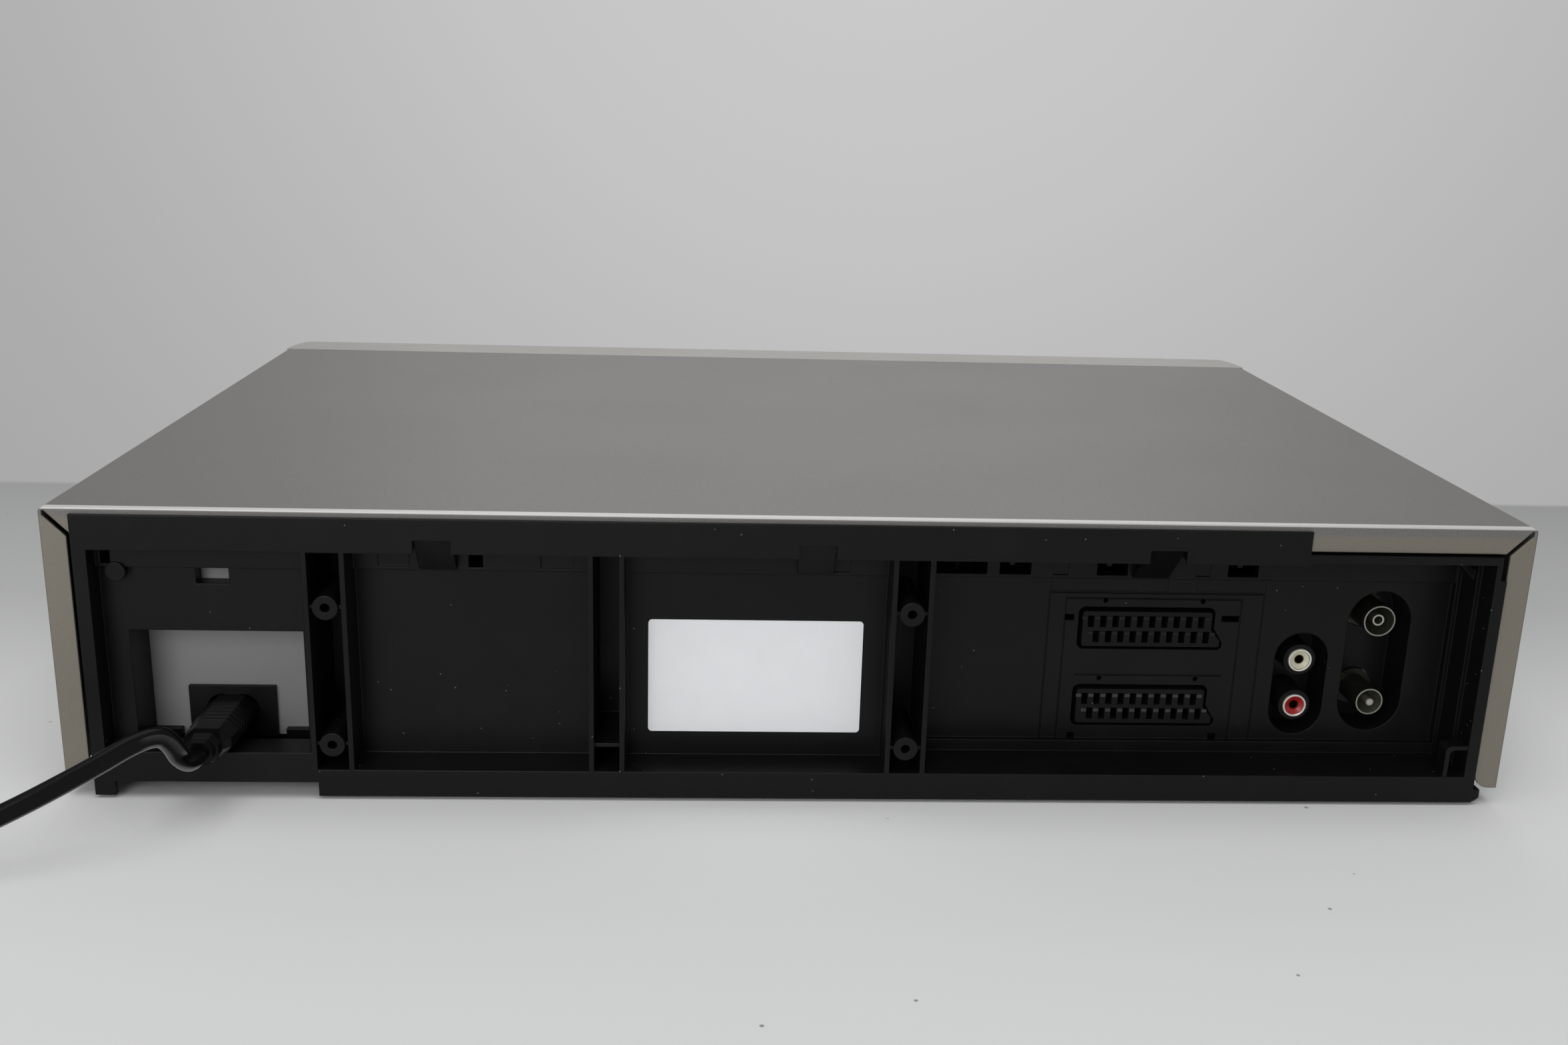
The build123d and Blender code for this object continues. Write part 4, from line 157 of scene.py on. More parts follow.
def swept(name, path, section, wide_axis):
    """A closed tube: the section's points ride along the path, its wide side along wide_axis(share)."""
    verts = []
    last = len(path) - 1
    for index, place in enumerate(path):
        ahead = path[min(index + 1, last)] - path[max(index - 1, 0)]
        along = ahead.normalized()
        wide = wide_axis(index / last)
        wide = (wide - along * wide.dot(along)).normalized()
        thin = along.cross(wide)
        verts += [place + wide * a + thin * b for a, b in section]
    faces = side_faces(len(path), len(section)) + end_faces(len(path), len(section))
    return piece(name, verts, faces, smooth=True)


def turned(name, centre, profile):
    """A piece turned about a line along Y from radius and depth behind the centre, in millimetres."""
    x, y, z = centre
    verts = []
    for radius, depth in profile:
        for k in range(TURNED_STEPS):
            angle = 2 * math.pi * k / TURNED_STEPS
            aside, up = radius * MM * math.cos(angle), radius * MM * math.sin(angle)
            verts.append((x + aside, y - depth * MM, z + up))
    shape = facing_out(piece(name, verts, side_faces(len(profile), TURNED_STEPS)), MERGE_DISTANCE)
    shape.data.shade_smooth()
    shape.data.set_sharp_from_angle(angle=math.radians(TURNED_CREASE))
    return shape


def lofted(name, rings):
    """A closed body through rings of points that all have the same count."""
    around = len(rings[0])
    verts = [point for ring in rings for point in ring]
    return facing_out(piece(name, verts, side_faces(len(rings), around) + end_faces(len(rings), around)))


def reach_of(shape):
    """Lowest and highest corner of a piece, in metres."""
    places = [shape.matrix_world @ vertex.co for vertex in shape.data.vertices]
    low = Vector(min(place[k] for place in places) for k in range(3))
    high = Vector(max(place[k] for place in places) for k in range(3))
    return low, high


# ---- Mains lead --------------------------------------------------------------------------------
CORD_WIDTH = 6.0 * MM
CORD_THICKNESS = 3.4 * MM
CORD_WAIST = 0.72  # share of a core's radius that is left between the two cores
CORD_ROUND_STEPS = 10
CORD_TWIST_SHARE = 0.02  # of its length, in which the cord turns from flat to on edge
COIL_CENTRE = Vector((0.304, 0.160, 0.0))
COIL_LANES = (42.0 * MM, 36.0 * MM, 30.0 * MM)
COIL_LAYERS = (3.0 * MM, 9.0 * MM)
COIL_STEPS = 16
COIL_TURNS = 5.25
CONNECTOR_END = (0.1722, 0.1555, 0.0198)
CORD_ROUTE = (
    CONNECTOR_END,
    (0.1722, 0.1606, 0.0196),
    (0.1736, 0.1645, 0.0216),
    (0.1756, 0.1665, 0.0285),
    (0.1784, 0.1680, 0.0310),
    (0.1840, 0.1718, 0.0300),
    (0.1925, 0.1780, 0.0258),
    (0.2135, 0.1893, 0.0166),
    (0.2370, 0.1985, 0.0082),
    (0.2605, 0.2020, 0.0030),
)
# Turns after which the lead has come to a lane and layer: three lanes in, up, and three lanes out.
COIL_STOPS = (
    (0.0, 0, 0), (0.75, 0, 0), (1.0, 1, 0), (1.75, 1, 0), (2.0, 2, 0), (2.55, 2, 0),
    (2.85, 2, 1), (3.5, 2, 1), (3.75, 1, 1), (4.45, 1, 1), (4.7, 0, 1), (COIL_TURNS, 0, 1),
)
COIL_EXIT = (0.346, 0.149, 0.0080)
PLUG_RELIEF = (0.346, 0.13705, 0.0068)


def coil_lane(turns):
    """Radius and height of the lead after that many turns of the coil."""
    for (start, lane_a, layer_a), (end, lane_b, layer_b) in zip(COIL_STOPS, COIL_STOPS[1:]):
        if turns <= end:
            break
    share = (turns - start) / (end - start)
    radius_a, radius_b = COIL_LANES[lane_a], COIL_LANES[lane_b]
    z_a, z_b = COIL_LAYERS[layer_a], COIL_LAYERS[layer_b]
    return radius_a + (radius_b - radius_a) * share, z_a + (z_b - z_a) * share


def coil_points():
    """Control points of the coil's turns, wound clockwise seen from above."""
    points = []
    swell = 1.0 / math.cos(math.pi / COIL_STEPS)
    for step in range(int(COIL_TURNS * COIL_STEPS) + 1):
        turns = step / COIL_STEPS
        radius, z = coil_lane(turns)
        angle = math.pi / 2 - 2 * math.pi * turns
        x = COIL_CENTRE.x + radius * swell * math.cos(angle)
        y = COIL_CENTRE.y + radius * swell * math.sin(angle)
        points.append((x, y, z))
    return points


def twin_section():
    """Outline of the flat twin cord: two round cores side by side in one sheath."""
    core = CORD_THICKNESS / 2
    reach = CORD_WIDTH / 2 - core
    outline = []
    for side in (1, -1):
        for k in range(CORD_ROUND_STEPS + 1):
            angle = side * math.pi / 2 - math.pi * k / CORD_ROUND_STEPS
            outline.append((side * reach + core * math.cos(angle), core * math.sin(angle)))
        outline.append((0.0, -side * CORD_WAIST * core))
    return outline


def cord_wide_axis(share):
    """The cord leaves its connector flat and is on edge from its crest onwards."""
    turn = min(1.0, share / CORD_TWIST_SHARE)
    return Vector((1.0, 0.0, 0.0)).lerp(Vector((0.0, 0.0, 1.0)), turn)


# The connector: corners of its section as shares of half its width and height, upper edges cut well back, and
# its stages along Y, each with width and height, in millimetres.
CONNECTOR_CORNERS = ((-0.52, 1.0), (-1.0, 0.30), (-1.0, -0.35), (-0.70, -1.0), (0.70, -1.0), (1.0, -0.35),
                     (1.0, 0.30), (0.52, 1.0))
CONNECTOR_BODY = ((113.0, 14.4, 8.2), (121.8, 14.6, 8.4), (122.0, 15.2, 8.7), (127.4, 15.0, 8.6))
CONNECTOR_RIB = ((0.0, 14.9, 8.6), (1.2, 14.8, 8.6), (1.5, 14.4, 8.45), (2.3, 14.4, 8.45))
CONNECTOR_COLLAR = ((141.3, 14.6, 8.6), (147.0, 13.6, 8.4), (149.6, 9.2, 7.4), (149.8, 10.0, 7.8),
                    (152.6, 9.6, 7.6), (152.9, 8.2, 7.0), (155.4, 7.8, 6.8))
RIB_COUNT = 5
RIB_START = 128.0
RIB_PITCH = 2.6


def connector_ring(y, width, height):
    """Eight-sided section of the connector at one stage."""
    return [(CONNECTOR_END[0] + x * width / 2 * MM, y * MM, CONNECTOR_END[2] + z * height / 2 * MM)
            for x, z in CONNECTOR_CORNERS]


def connector_grip():
    """The connector's body: plain behind the inlet, ribbed grip, steep shoulders, a collar round the cord."""
    stages = list(CONNECTOR_BODY)
    for number in range(RIB_COUNT):
        start = RIB_START + RIB_PITCH * number
        stages += [(start + y, width, height) for y, width, height in CONNECTOR_RIB]
    stages += CONNECTOR_COLLAR
    return lofted("connector_grip", [connector_ring(*stage) for stage in stages])


def mains_lead():
    """The flat cord from the connector's grip to the plug, its unseen length wound in a coil."""
    path = line_of([*CORD_ROUTE, *coil_points(), COIL_EXIT, PLUG_RELIEF], "cord_line")
    lead = swept("mains_lead", path, twin_section(), cord_wide_axis)
    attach(lead, "cabinet")
    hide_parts("mains_cord", "mains_cord_coil")
    return lead


grip = connector_grip()
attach(grip, "cabinet")
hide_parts("mains_connector")
lead = mains_lead()


# ---- Material helpers --------------------------------------------------------------------------
BEVEL_SAMPLES = 6
SPECK_FADE = 1.6  # times its radius, where a grain has faded out


def finish(name):
    """A new material's node tree, with its shader and its object coordinates."""
    material = bpy.data.materials.new(name)
    material.use_nodes = True
    tree = material.node_tree
    shader = tree.nodes["Principled BSDF"]
    place = tree.nodes.new("ShaderNodeTexCoord").outputs["Object"]
    return material, tree, shader, place


def noise(tree, place, scale, detail, stretch=(1.0, 1.0, 1.0)):
    """Noise of that many features per metre, stretched along the axes."""
    mapping = tree.nodes.new("ShaderNodeMapping")
    mapping.inputs["Scale"].default_value = stretch
    tree.links.new(place, mapping.inputs["Vector"])
    grain = tree.nodes.new("ShaderNodeTexNoise")
    grain.inputs["Scale"].default_value = scale
    grain.inputs["Detail"].default_value = detail
    tree.links.new(mapping.outputs["Vector"], grain.inputs["Vector"])
    return grain.outputs["Fac"]


def ramp(tree, value, stops):
    """Colours along a value: stops of place and colour."""
    band = tree.nodes.new("ShaderNodeValToRGB")
    elements = band.color_ramp.elements
    while len(elements) < len(stops):
        elements.new(0.5)
    for element, (place, colour) in zip(elements, stops):
        element.position = place
        element.color = (*colour, 1.0)
    tree.links.new(value, band.inputs["Fac"])
    return band.outputs["Color"]


def grey(level):
    """A grey colour."""
    return (level, level, level)


def blend_colours(tree, factor, first, second):
    """One colour over another by a factor."""
    mix = tree.nodes.new("ShaderNodeMix")
    mix.data_type = "RGBA"
    tree.links.new(factor, mix.inputs["Factor"])
    for socket, colour in ((mix.inputs["A"], first), (mix.inputs["B"], second)):
        if isinstance(colour, bpy.types.NodeSocket):
            tree.links.new(colour, socket)
        else:
            socket.default_value = (*colour, 1.0)
    return mix.outputs["Result"]


def blend_shaders(tree, factor, first, second):
    """One shader over another by a factor."""
    mix = tree.nodes.new("ShaderNodeMixShader")
    for socket, source in zip(mix.inputs, (factor, first, second)):
        tree.links.new(source, socket)
    return mix.outputs["Shader"]


def bumps(tree, shader, height, strength, distance, edge=0.0):
    """Relief of the surface from a height value, over hard edges that are rounded off by that radius."""
    bump = tree.nodes.new("ShaderNodeBump")
    bump.inputs["Strength"].default_value = strength
    bump.inputs["Distance"].default_value = distance
    tree.links.new(height, bump.inputs["Height"])
    if edge > 0.0:
        rounding = tree.nodes.new("ShaderNodeBevel")
        rounding.samples = BEVEL_SAMPLES
        rounding.inputs["Radius"].default_value = edge
        tree.links.new(rounding.outputs["Normal"], bump.inputs["Normal"])
    tree.links.new(bump.outputs["Normal"], shader.inputs["Normal"])


def rise(tree, value, start, end):
    """0 up to the start and 1 past the end; the end may be the smaller of the two."""
    step = tree.nodes.new("ShaderNodeMapRange")
    step.inputs["From Min"].default_value = start
    step.inputs["From Max"].default_value = end
    tree.links.new(value, step.inputs["Value"])
    return step.outputs["Result"]


def within(tree, place, axis, start, end):
    """The rise of one coordinate."""
    parts = tree.nodes.new("ShaderNodeSeparateXYZ")
    tree.links.new(place, parts.inputs["Vector"])
    return rise(tree, parts.outputs[axis], start, end)


def vector_step(tree, operation, vector, other=None):
    """Outputs of one operation on a vector and, where it takes two, a fixed one."""
    step = tree.nodes.new("ShaderNodeVectorMath")
    step.operation = operation
    tree.links.new(vector, step.inputs[0])
    if other is not None:
        step.inputs[1].default_value = other
    return step.outputs


def combined(tree, first, second, operation):
    """Two values joined by one operation."""
    both = tree.nodes.new("ShaderNodeMath")
    both.operation = operation
    for socket, value in zip(both.inputs, (first, second)):
        if isinstance(value, bpy.types.NodeSocket):
            tree.links.new(value, socket)
        else:
            socket.default_value = value
    return both.outputs["Value"]


def product(tree, first, second):
    """Both values at once."""
    return combined(tree, first, second, "MULTIPLY")


def specks(tree, place, cells, share, size):
    """1 on small scattered grains: that share of the cells holds one, of that radius in cell sizes."""
    scatter = tree.nodes.new("ShaderNodeTexVoronoi")
    scatter.inputs["Scale"].default_value = cells
    tree.links.new(place, scatter.inputs["Vector"])
    grain = ramp(tree, scatter.outputs["Distance"], ((size, grey(1.0)), (size * SPECK_FADE, grey(0.0))))
    lot = tree.nodes.new("ShaderNodeSeparateColor")
    tree.links.new(scatter.outputs["Color"], lot.inputs["Color"])
    chosen = ramp(tree, lot.outputs["Red"], ((1.0 - share, grey(0.0)), (1.0 - share * 0.8, grey(1.0))))
    return product(tree, grain, chosen)


# ---- Finishes ----------------------------------------------------------------------------------
# Colours are linear; numbers that go into noise count features per metre.
DUST_FILM = (0.20, 0.20, 0.19)
DUST_GRAIN = (0.13, 0.13, 0.125)
DUST_CELLS = 260.0
DUST_SIZE = 0.04  # of a cell
METAL_RELIEF = 0.000008
FLAKE_CELLS = 3200.0
FLAKE_BRIGHT = (0.208, 0.199, 0.189)
FLAKE_DARK = (0.141, 0.136, 0.129)
COVER_CLOUD = (0.127, 0.123, 0.117)
COVER_METALLIC = 0.30
# Painted highlight: the cover is pale along its rear bend, where the bend catches the light. The lips below
# the bend are tinted warmer.
COVER_BEND_LOW = 0.0879
COVER_BEND_REAR = 0.1400
COVER_BEND_FADE = 0.0003
COVER_BEND_PAINTED_HIGHLIGHT = (0.60, 0.59, 0.57)
COVER_LIP_HEIGHTS = (COVER_BEND_LOW - 0.002, COVER_BEND_LOW - 0.003)
COVER_LIP_WARM_TINT = (0.215, 0.188, 0.132)
COVER_LIP_SHARE = 0.45
TRACKS_PER_METRE = 160.0
TRACK_TONES = {"Color1": (0.070, 0.042, 0.014), "Color2": (0.058, 0.036, 0.012),
               "Mortar": (0.100, 0.066, 0.024)}
BOARD_CLOUD = (0.050, 0.031, 0.012)
LABEL_TONES = ((0.3, (0.77, 0.778, 0.795)), (0.7, (0.79, 0.798, 0.815)))
WINDOW_TONES = ((0.4, (0.36, 0.37, 0.38)), (0.8, (0.30, 0.31, 0.32)))
GLOW_TONES = ((0.3, (0.12, 0.62, 0.50)), (0.7, (0.20, 0.80, 0.64)))
GLOW_STRENGTH = 2.2
# The sheath is slick where it faces down, and sooner so at the fold behind the connector.
SHEATH_SHEEN = 0.95
SHEATH_FOLD_X = (0.1822, 0.1800)
SHEATH_FOLD_Y = (0.1555, 0.1570)
SHEATH_FOLD_FACING = (0.05, -0.35)
SHEATH_FACING = (-0.2, -0.75)
SHEATH_SPECULAR = 0.10  # of the dull part


def shaded(colour, factor):
    """The colour made darker or lighter by a factor."""
    return tuple(min(1.0, factor * c) for c in colour)


def moulding(name, colour, roughness, grain=2500.0, relief=0.00002, dust=0.0, specular=0.5, edge=0.0002):
    """Moulded plastic: faint mottling, spark-eroded grain, uneven sheen and a few specks of dust."""
    material, tree, shader, place = finish(name)
    cloud = noise(tree, place, 22.0, 3.0)
    tint = ramp(tree, cloud, ((0.3, shaded(colour, 0.94)), (0.7, shaded(colour, 1.06))))
    if dust > 0.0:
        film = ramp(tree, noise(tree, place, 60.0, 4.0), ((0.52, grey(0.0)), (0.8, grey(dust * 0.12))))
        tint = blend_colours(tree, film, tint, DUST_FILM)
        grains = specks(tree, place, DUST_CELLS, min(1.0, 4.0 * dust), DUST_SIZE)
        tint = blend_colours(tree, grains, tint, DUST_GRAIN)
    tree.links.new(tint, shader.inputs["Base Color"])
    patches = noise(tree, place, 45.0, 3.0)
    sheen = ramp(tree, patches, ((0.3, grey(roughness - 0.03)), (0.7, grey(roughness + 0.04))))
    tree.links.new(sheen, shader.inputs["Roughness"])
    shader.inputs["Specular IOR Level"].default_value = specular
    bumps(tree, shader, noise(tree, place, grain, 2.0), 0.5, relief, edge)
    return material


def sheet_metal(name, colour, roughness, grain=(1.0, 60.0, 1.0), metallic=1.0):
    """Rolled or plated metal: fine streaks along one axis and cloudy reflections."""
    material, tree, shader, place = finish(name)
    cloud = noise(tree, place, 35.0, 4.0)
    tint = ramp(tree, cloud, ((0.3, shaded(colour, 0.88)), (0.7, shaded(colour, 1.08))))
    tree.links.new(tint, shader.inputs["Base Color"])
    shader.inputs["Metallic"].default_value = metallic
    streaks = noise(tree, place, 90.0, 5.0, grain)
    sheen = ramp(tree, streaks, ((0.3, grey(roughness - 0.07)), (0.7, grey(roughness + 0.10))))
    tree.links.new(sheen, shader.inputs["Roughness"])
    bumps(tree, shader, streaks, 0.35, METAL_RELIEF)
    return material


def cover_paint():
    """Warm silver paint on sheet steel: metal flakes, faint orange peel, light handling marks and a painted
    highlight along the rear bend.
    """
    material, tree, shader, place = finish("cover_paint")
    flakes = tree.nodes.new("ShaderNodeTexVoronoi")
    flakes.inputs["Scale"].default_value = FLAKE_CELLS
    tree.links.new(place, flakes.inputs["Vector"])
    flake_tint = ramp(tree, flakes.outputs["Distance"], ((0.0, FLAKE_BRIGHT), (0.7, FLAKE_DARK)))
    cloud = ramp(tree, noise(tree, place, 6.0, 3.0), ((0.3, grey(0.0)), (0.75, grey(0.10))))
    tint = blend_colours(tree, cloud, flake_tint, COVER_CLOUD)
    bend = within(tree, place, "Z", COVER_BEND_LOW, COVER_BEND_LOW + COVER_BEND_FADE)
    rear = within(tree, place, "Y", COVER_BEND_REAR - COVER_BEND_FADE, COVER_BEND_REAR)
    lip = product(tree, rear, within(tree, place, "Z", *COVER_LIP_HEIGHTS))
    # The lips below the bend tinted warmer.
    tint = blend_colours(tree, product(tree, lip, COVER_LIP_SHARE), tint, COVER_LIP_WARM_TINT)
    # Painted highlight along the rear bend.
    tint = blend_colours(tree, product(tree, bend, rear), tint, COVER_BEND_PAINTED_HIGHLIGHT)
    tree.links.new(tint, shader.inputs["Base Color"])
    shader.inputs["Metallic"].default_value = COVER_METALLIC
    marks = ramp(tree, noise(tree, place, 14.0, 3.0), ((0.35, grey(0.45)), (0.7, grey(0.48))))
    tree.links.new(marks, shader.inputs["Roughness"])
    bumps(tree, shader, noise(tree, place, 700.0, 3.0), 0.25, 0.00002, 0.0006)
    return material


def board_resin():
    """Lacquered circuit board: brown base with faint printed tracks."""
    material, tree, shader, place = finish("board_resin")
    tracks = tree.nodes.new("ShaderNodeTexBrick")
    tracks.inputs["Scale"].default_value = TRACKS_PER_METRE
    for tone, colour in TRACK_TONES.items():
        tracks.inputs[tone].default_value = (*colour, 1.0)
    tree.links.new(place, tracks.inputs["Vector"])
    cloud = ramp(tree, noise(tree, place, 40.0, 4.0), ((0.35, grey(0.0)), (0.8, grey(0.5))))
    tint = blend_colours(tree, cloud, tracks.outputs["Color"], BOARD_CLOUD)
    tree.links.new(tint, shader.inputs["Base Color"])
    shader.inputs["Roughness"].default_value = 0.38
    bumps(tree, shader, noise(tree, place, 1200.0, 2.0), 0.3, 0.00002)
    return material


def label_film():
    """Bare silver-grey film with a fine weave and a slightly lifted sheen."""
    material, tree, shader, place = finish("label_film")
    tint = ramp(tree, noise(tree, place, 120.0, 3.0), LABEL_TONES)
    tree.links.new(tint, shader.inputs["Base Color"])
    sheen = ramp(tree, noise(tree, place, 300.0, 2.0), ((0.3, grey(0.42)), (0.7, grey(0.48))))
    tree.links.new(sheen, shader.inputs["Roughness"])
    bumps(tree, shader, noise(tree, place, 2400.0, 1.0), 0.3, 0.00001)
    return material


def rubber(name, colour, roughness):
    """Rubber: matt, faintly pitted, with a dusty bloom."""
    return moulding(name, colour, roughness, grain=1500.0, relief=0.00004, dust=0.25, specular=0.35)


def cord_sheath():
    """Black soft plastic, dull on top and slick below, where it has slid over tables."""
    material = moulding("cord_sheath", (0.0042, 0.0042, 0.0044), 0.24, grain=700.0, dust=0.02, edge=0.0004)
    tree = material.node_tree
    shader = tree.nodes["Principled BSDF"]
    place = tree.nodes["Texture Coordinate"].outputs["Object"]
    facing = tree.nodes.new("ShaderNodeNewGeometry").outputs["Normal"]
    fold = product(tree, within(tree, place, "X", *SHEATH_FOLD_X), within(tree, place, "Y", *SHEATH_FOLD_Y))
    fold = product(tree, fold, within(tree, facing, "Z", *SHEATH_FOLD_FACING))
    below = combined(tree, within(tree, facing, "Z", *SHEATH_FACING), fold, "MAXIMUM")
    slick = product(tree, below, SHEATH_SHEEN)
    tree.links.new(combined(tree, slick, SHEATH_SPECULAR, "ADD"), shader.inputs["Specular IOR Level"])
    tree.links.new(slick, shader.inputs["Coat Weight"])
    shader.inputs["Coat Roughness"].default_value = 0.12
    return material


def window_tint():
    """Smoked acrylic with a polished face and hairline scratches."""
    material, tree, shader, place = finish("window_tint")
    hairs = noise(tree, place, 260.0, 6.0, (0.15, 1.0, 1.0))
    tint = ramp(tree, hairs, WINDOW_TONES)
    tree.links.new(tint, shader.inputs["Base Color"])
    sheen = ramp(tree, hairs, ((0.4, grey(0.03)), (0.75, grey(0.08))))
    tree.links.new(sheen, shader.inputs["Roughness"])
    shader.inputs["Transmission Weight"].default_value = 0.75
    shader.inputs["IOR"].default_value = 1.02
    shader.inputs["Coat Weight"].default_value = 0.6
    return material


def clock_phosphor():
    """Pale green phosphor that glows faintly, uneven along each bar."""
    material, tree, shader, place = finish("clock_glow")
    glow = ramp(tree, noise(tree, place, 500.0, 2.0), GLOW_TONES)
    tree.links.new(glow, shader.inputs["Base Color"])
    tree.links.new(glow, shader.inputs["Emission Color"])
    shader.inputs["Emission Strength"].default_value = GLOW_STRENGTH
    return material


finishes = {
    "cover_paint": cover_paint(),
    "front_moulding": moulding("front_moulding", (0.30, 0.285, 0.262), 0.34, grain=1800.0),
    "black_moulding": moulding("black_moulding", (0.0046, 0.0046, 0.0047), 0.40, grain=1600.0, relief=0.00004,
                               dust=0.05, specular=0.14),
    "panel_moulding": moulding("panel_moulding", (0.0040, 0.0040, 0.0041), 0.34, grain=1900.0, relief=0.00003,
                               dust=0.07, specular=0.16, edge=0.0005),
    "white_moulding": moulding("white_moulding", (0.215, 0.215, 0.213), 0.45, grain=1200.0, specular=0.3),
    "white_insert": moulding("white_insert", (0.55, 0.525, 0.40), 0.32, grain=900.0),
    "red_insert": moulding("red_insert", (0.30, 0.008, 0.010), 0.30, grain=900.0),
    "gear_resin": moulding("gear_resin", (0.60, 0.56, 0.47), 0.45, grain=1100.0),
    "cord_sheath": cord_sheath(),
    "foot_rubber": rubber("foot_rubber", (0.012, 0.012, 0.012), 0.8),
    "belt_rubber": rubber("belt_rubber", (0.010, 0.010, 0.010), 0.6),
    "roller_rubber": rubber("roller_rubber", (0.012, 0.012, 0.013), 0.55),
    "zinc_steel": sheet_metal("zinc_steel", (0.55, 0.55, 0.53), 0.34),
    "screw_steel": sheet_metal("screw_steel", (0.40, 0.39, 0.38), 0.28, (1.0, 1.0, 8.0)),
    "polished_steel": sheet_metal("polished_steel", (0.66, 0.66, 0.67), 0.14, (1.0, 1.0, 20.0)),
    "bare_aluminium": sheet_metal("bare_aluminium", (0.72, 0.73, 0.74), 0.27, (1.0, 1.0, 30.0)),
    "socket_plate": sheet_metal("socket_plate", (0.50, 0.47, 0.40), 0.30, (1.0, 20.0, 1.0)),
    "core_iron": sheet_metal("core_iron", (0.10, 0.10, 0.11), 0.5, (1.0, 1.0, 1.0), 0.6),
    "board_resin": board_resin(),
    "label_film": label_film(),
    "window_tint": window_tint(),
    "display_glass": moulding("display_glass", (0.05, 0.065, 0.065), 0.12, grain=400.0, relief=0.000002),
}


def dress(shape, material):
    """The piece takes that material in place of what it had."""
    shape.data.materials.clear()
    shape.data.materials.append(material)


# Every CAD node takes the finish of its slot in the record.
for entry in frame["record"]["subparts"]:
    dress(nodes[entry["node"]], finishes[entry["material_slot"]])
for cord_piece in (lead, grip):
    dress(cord_piece, finishes["cord_sheath"])


# ---- Socket details ----------------------------------------------------------------------------
# Profiles of the sound sockets: radius and depth behind the socket's face, in millimetres.
INSERT_PROFILE = ((0.0, 20.4), (3.6, 20.3), (3.6, 1.45), (3.0, 1.40), (3.0, 0.30), (2.9, 0.22), (1.6, 0.80),
                  (1.45, 1.10), (1.45, 5.0), (0.0, 5.0))
RING_PROFILE = ((3.68, 1.40), (3.68, 0.12), (3.58, 0.0), (3.20, 0.0), (3.05, 0.16), (3.05, 1.30), (3.6, 1.30),
                (3.68, 1.40))
CUP_PROFILE = ((1.44, 1.1), (1.22, 1.15), (1.16, 4.8), (0.0, 4.8), (0.0, 5.0), (1.44, 5.0), (1.44, 1.1))
# The two aerial connectors' rim, contact radius, contact face and bore, in millimetres, and the bore's tone.
AERIALS = {
    "aerial_in_socket": (124.0, 1.75, 123.0, 4.55, 0.10),
    "aerial_out_plug": (124.5, 0.85, 124.8, 3.95, 0.21),
}
BORE_BLUE = 0.78  # share of the bore's tone that is left in its blue
RIM_FADE = (0.12 * MM, 0.04 * MM)
CONTACT_FADE = 0.1 * MM
# Painted shade on the tin plate, and painted highlights on its rim and its contact.
AERIAL_PAINTED_SHADE = ((0.3, (0.018, 0.018, 0.014)), (0.7, (0.034, 0.034, 0.026)))
AERIAL_RIM_HIGHLIGHT = (0.28, 0.275, 0.235)
AERIAL_CONTACT_HIGHLIGHT = (0.44, 0.43, 0.37)
MASK_FADE = 0.05 * MM
PAD_HALF_WIDTH = 0.9 * MM
PAD_HALF_HEIGHT = 0.6 * MM
PAD_THICKNESS = 0.12 * MM
PAD_CHAMFER = 0.1 * MM
PAD_INPUTS = (("Pad", "Object"), ("Count", "Int"), ("Pitch", "Vector"), ("Upper Row", "Vector"),
              ("Lower Row", "Vector"), ("Finish", "Material"))
PAD_COUNT = 11
PAD_DROP = 0.9 * MM
SLOT_PITCH = 3.81 * MM
SOCKET_X = -108.65 * MM
SOCKET_FACE_Y = 124.9 * MM
SOCKET_HEIGHTS = {"upper": 51.7 * MM, "lower": 26.25 * MM}
# Shift and height of the upper and the lower contact row from the socket's middle.
ROW_PLACES = ((1.85 * MM, 2.4 * MM), (-0.05 * MM, -2.5 * MM))


def fitted(shape, material, body="cabinet"):
    """A new piece takes its material and moves with its body."""
    dress(shape, material)
    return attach(shape, body)


def middle_of(node):
    """Middle of a node's X and Z reach at its rear face."""
    low, high = reach_of(node)
    return (low.x + high.x) / 2, high.y, (low.z + high.z) / 2


def sound_socket(colour):
    """Coloured insert with a nickel ring round its face and a contact cup in its hole, brass painted near
    black as the hole's shade.
    """
    centre = middle_of(nodes["jack_" + colour])
    insert = fitted(turned(colour + "_insert_cone", centre, INSERT_PROFILE), finishes[colour + "_insert"])
    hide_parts("jack_" + colour)
    fitted(turned(colour + "_insert_ring", centre, RING_PROFILE), ring_nickel)
    fitted(turned(colour + "_contact_cup", centre, CUP_PROFILE), contact_brass)


def round_mask(tree, apart, radius):
    """1 inside that radius, 0 outside."""
    return rise(tree, apart, radius + MASK_FADE, radius)


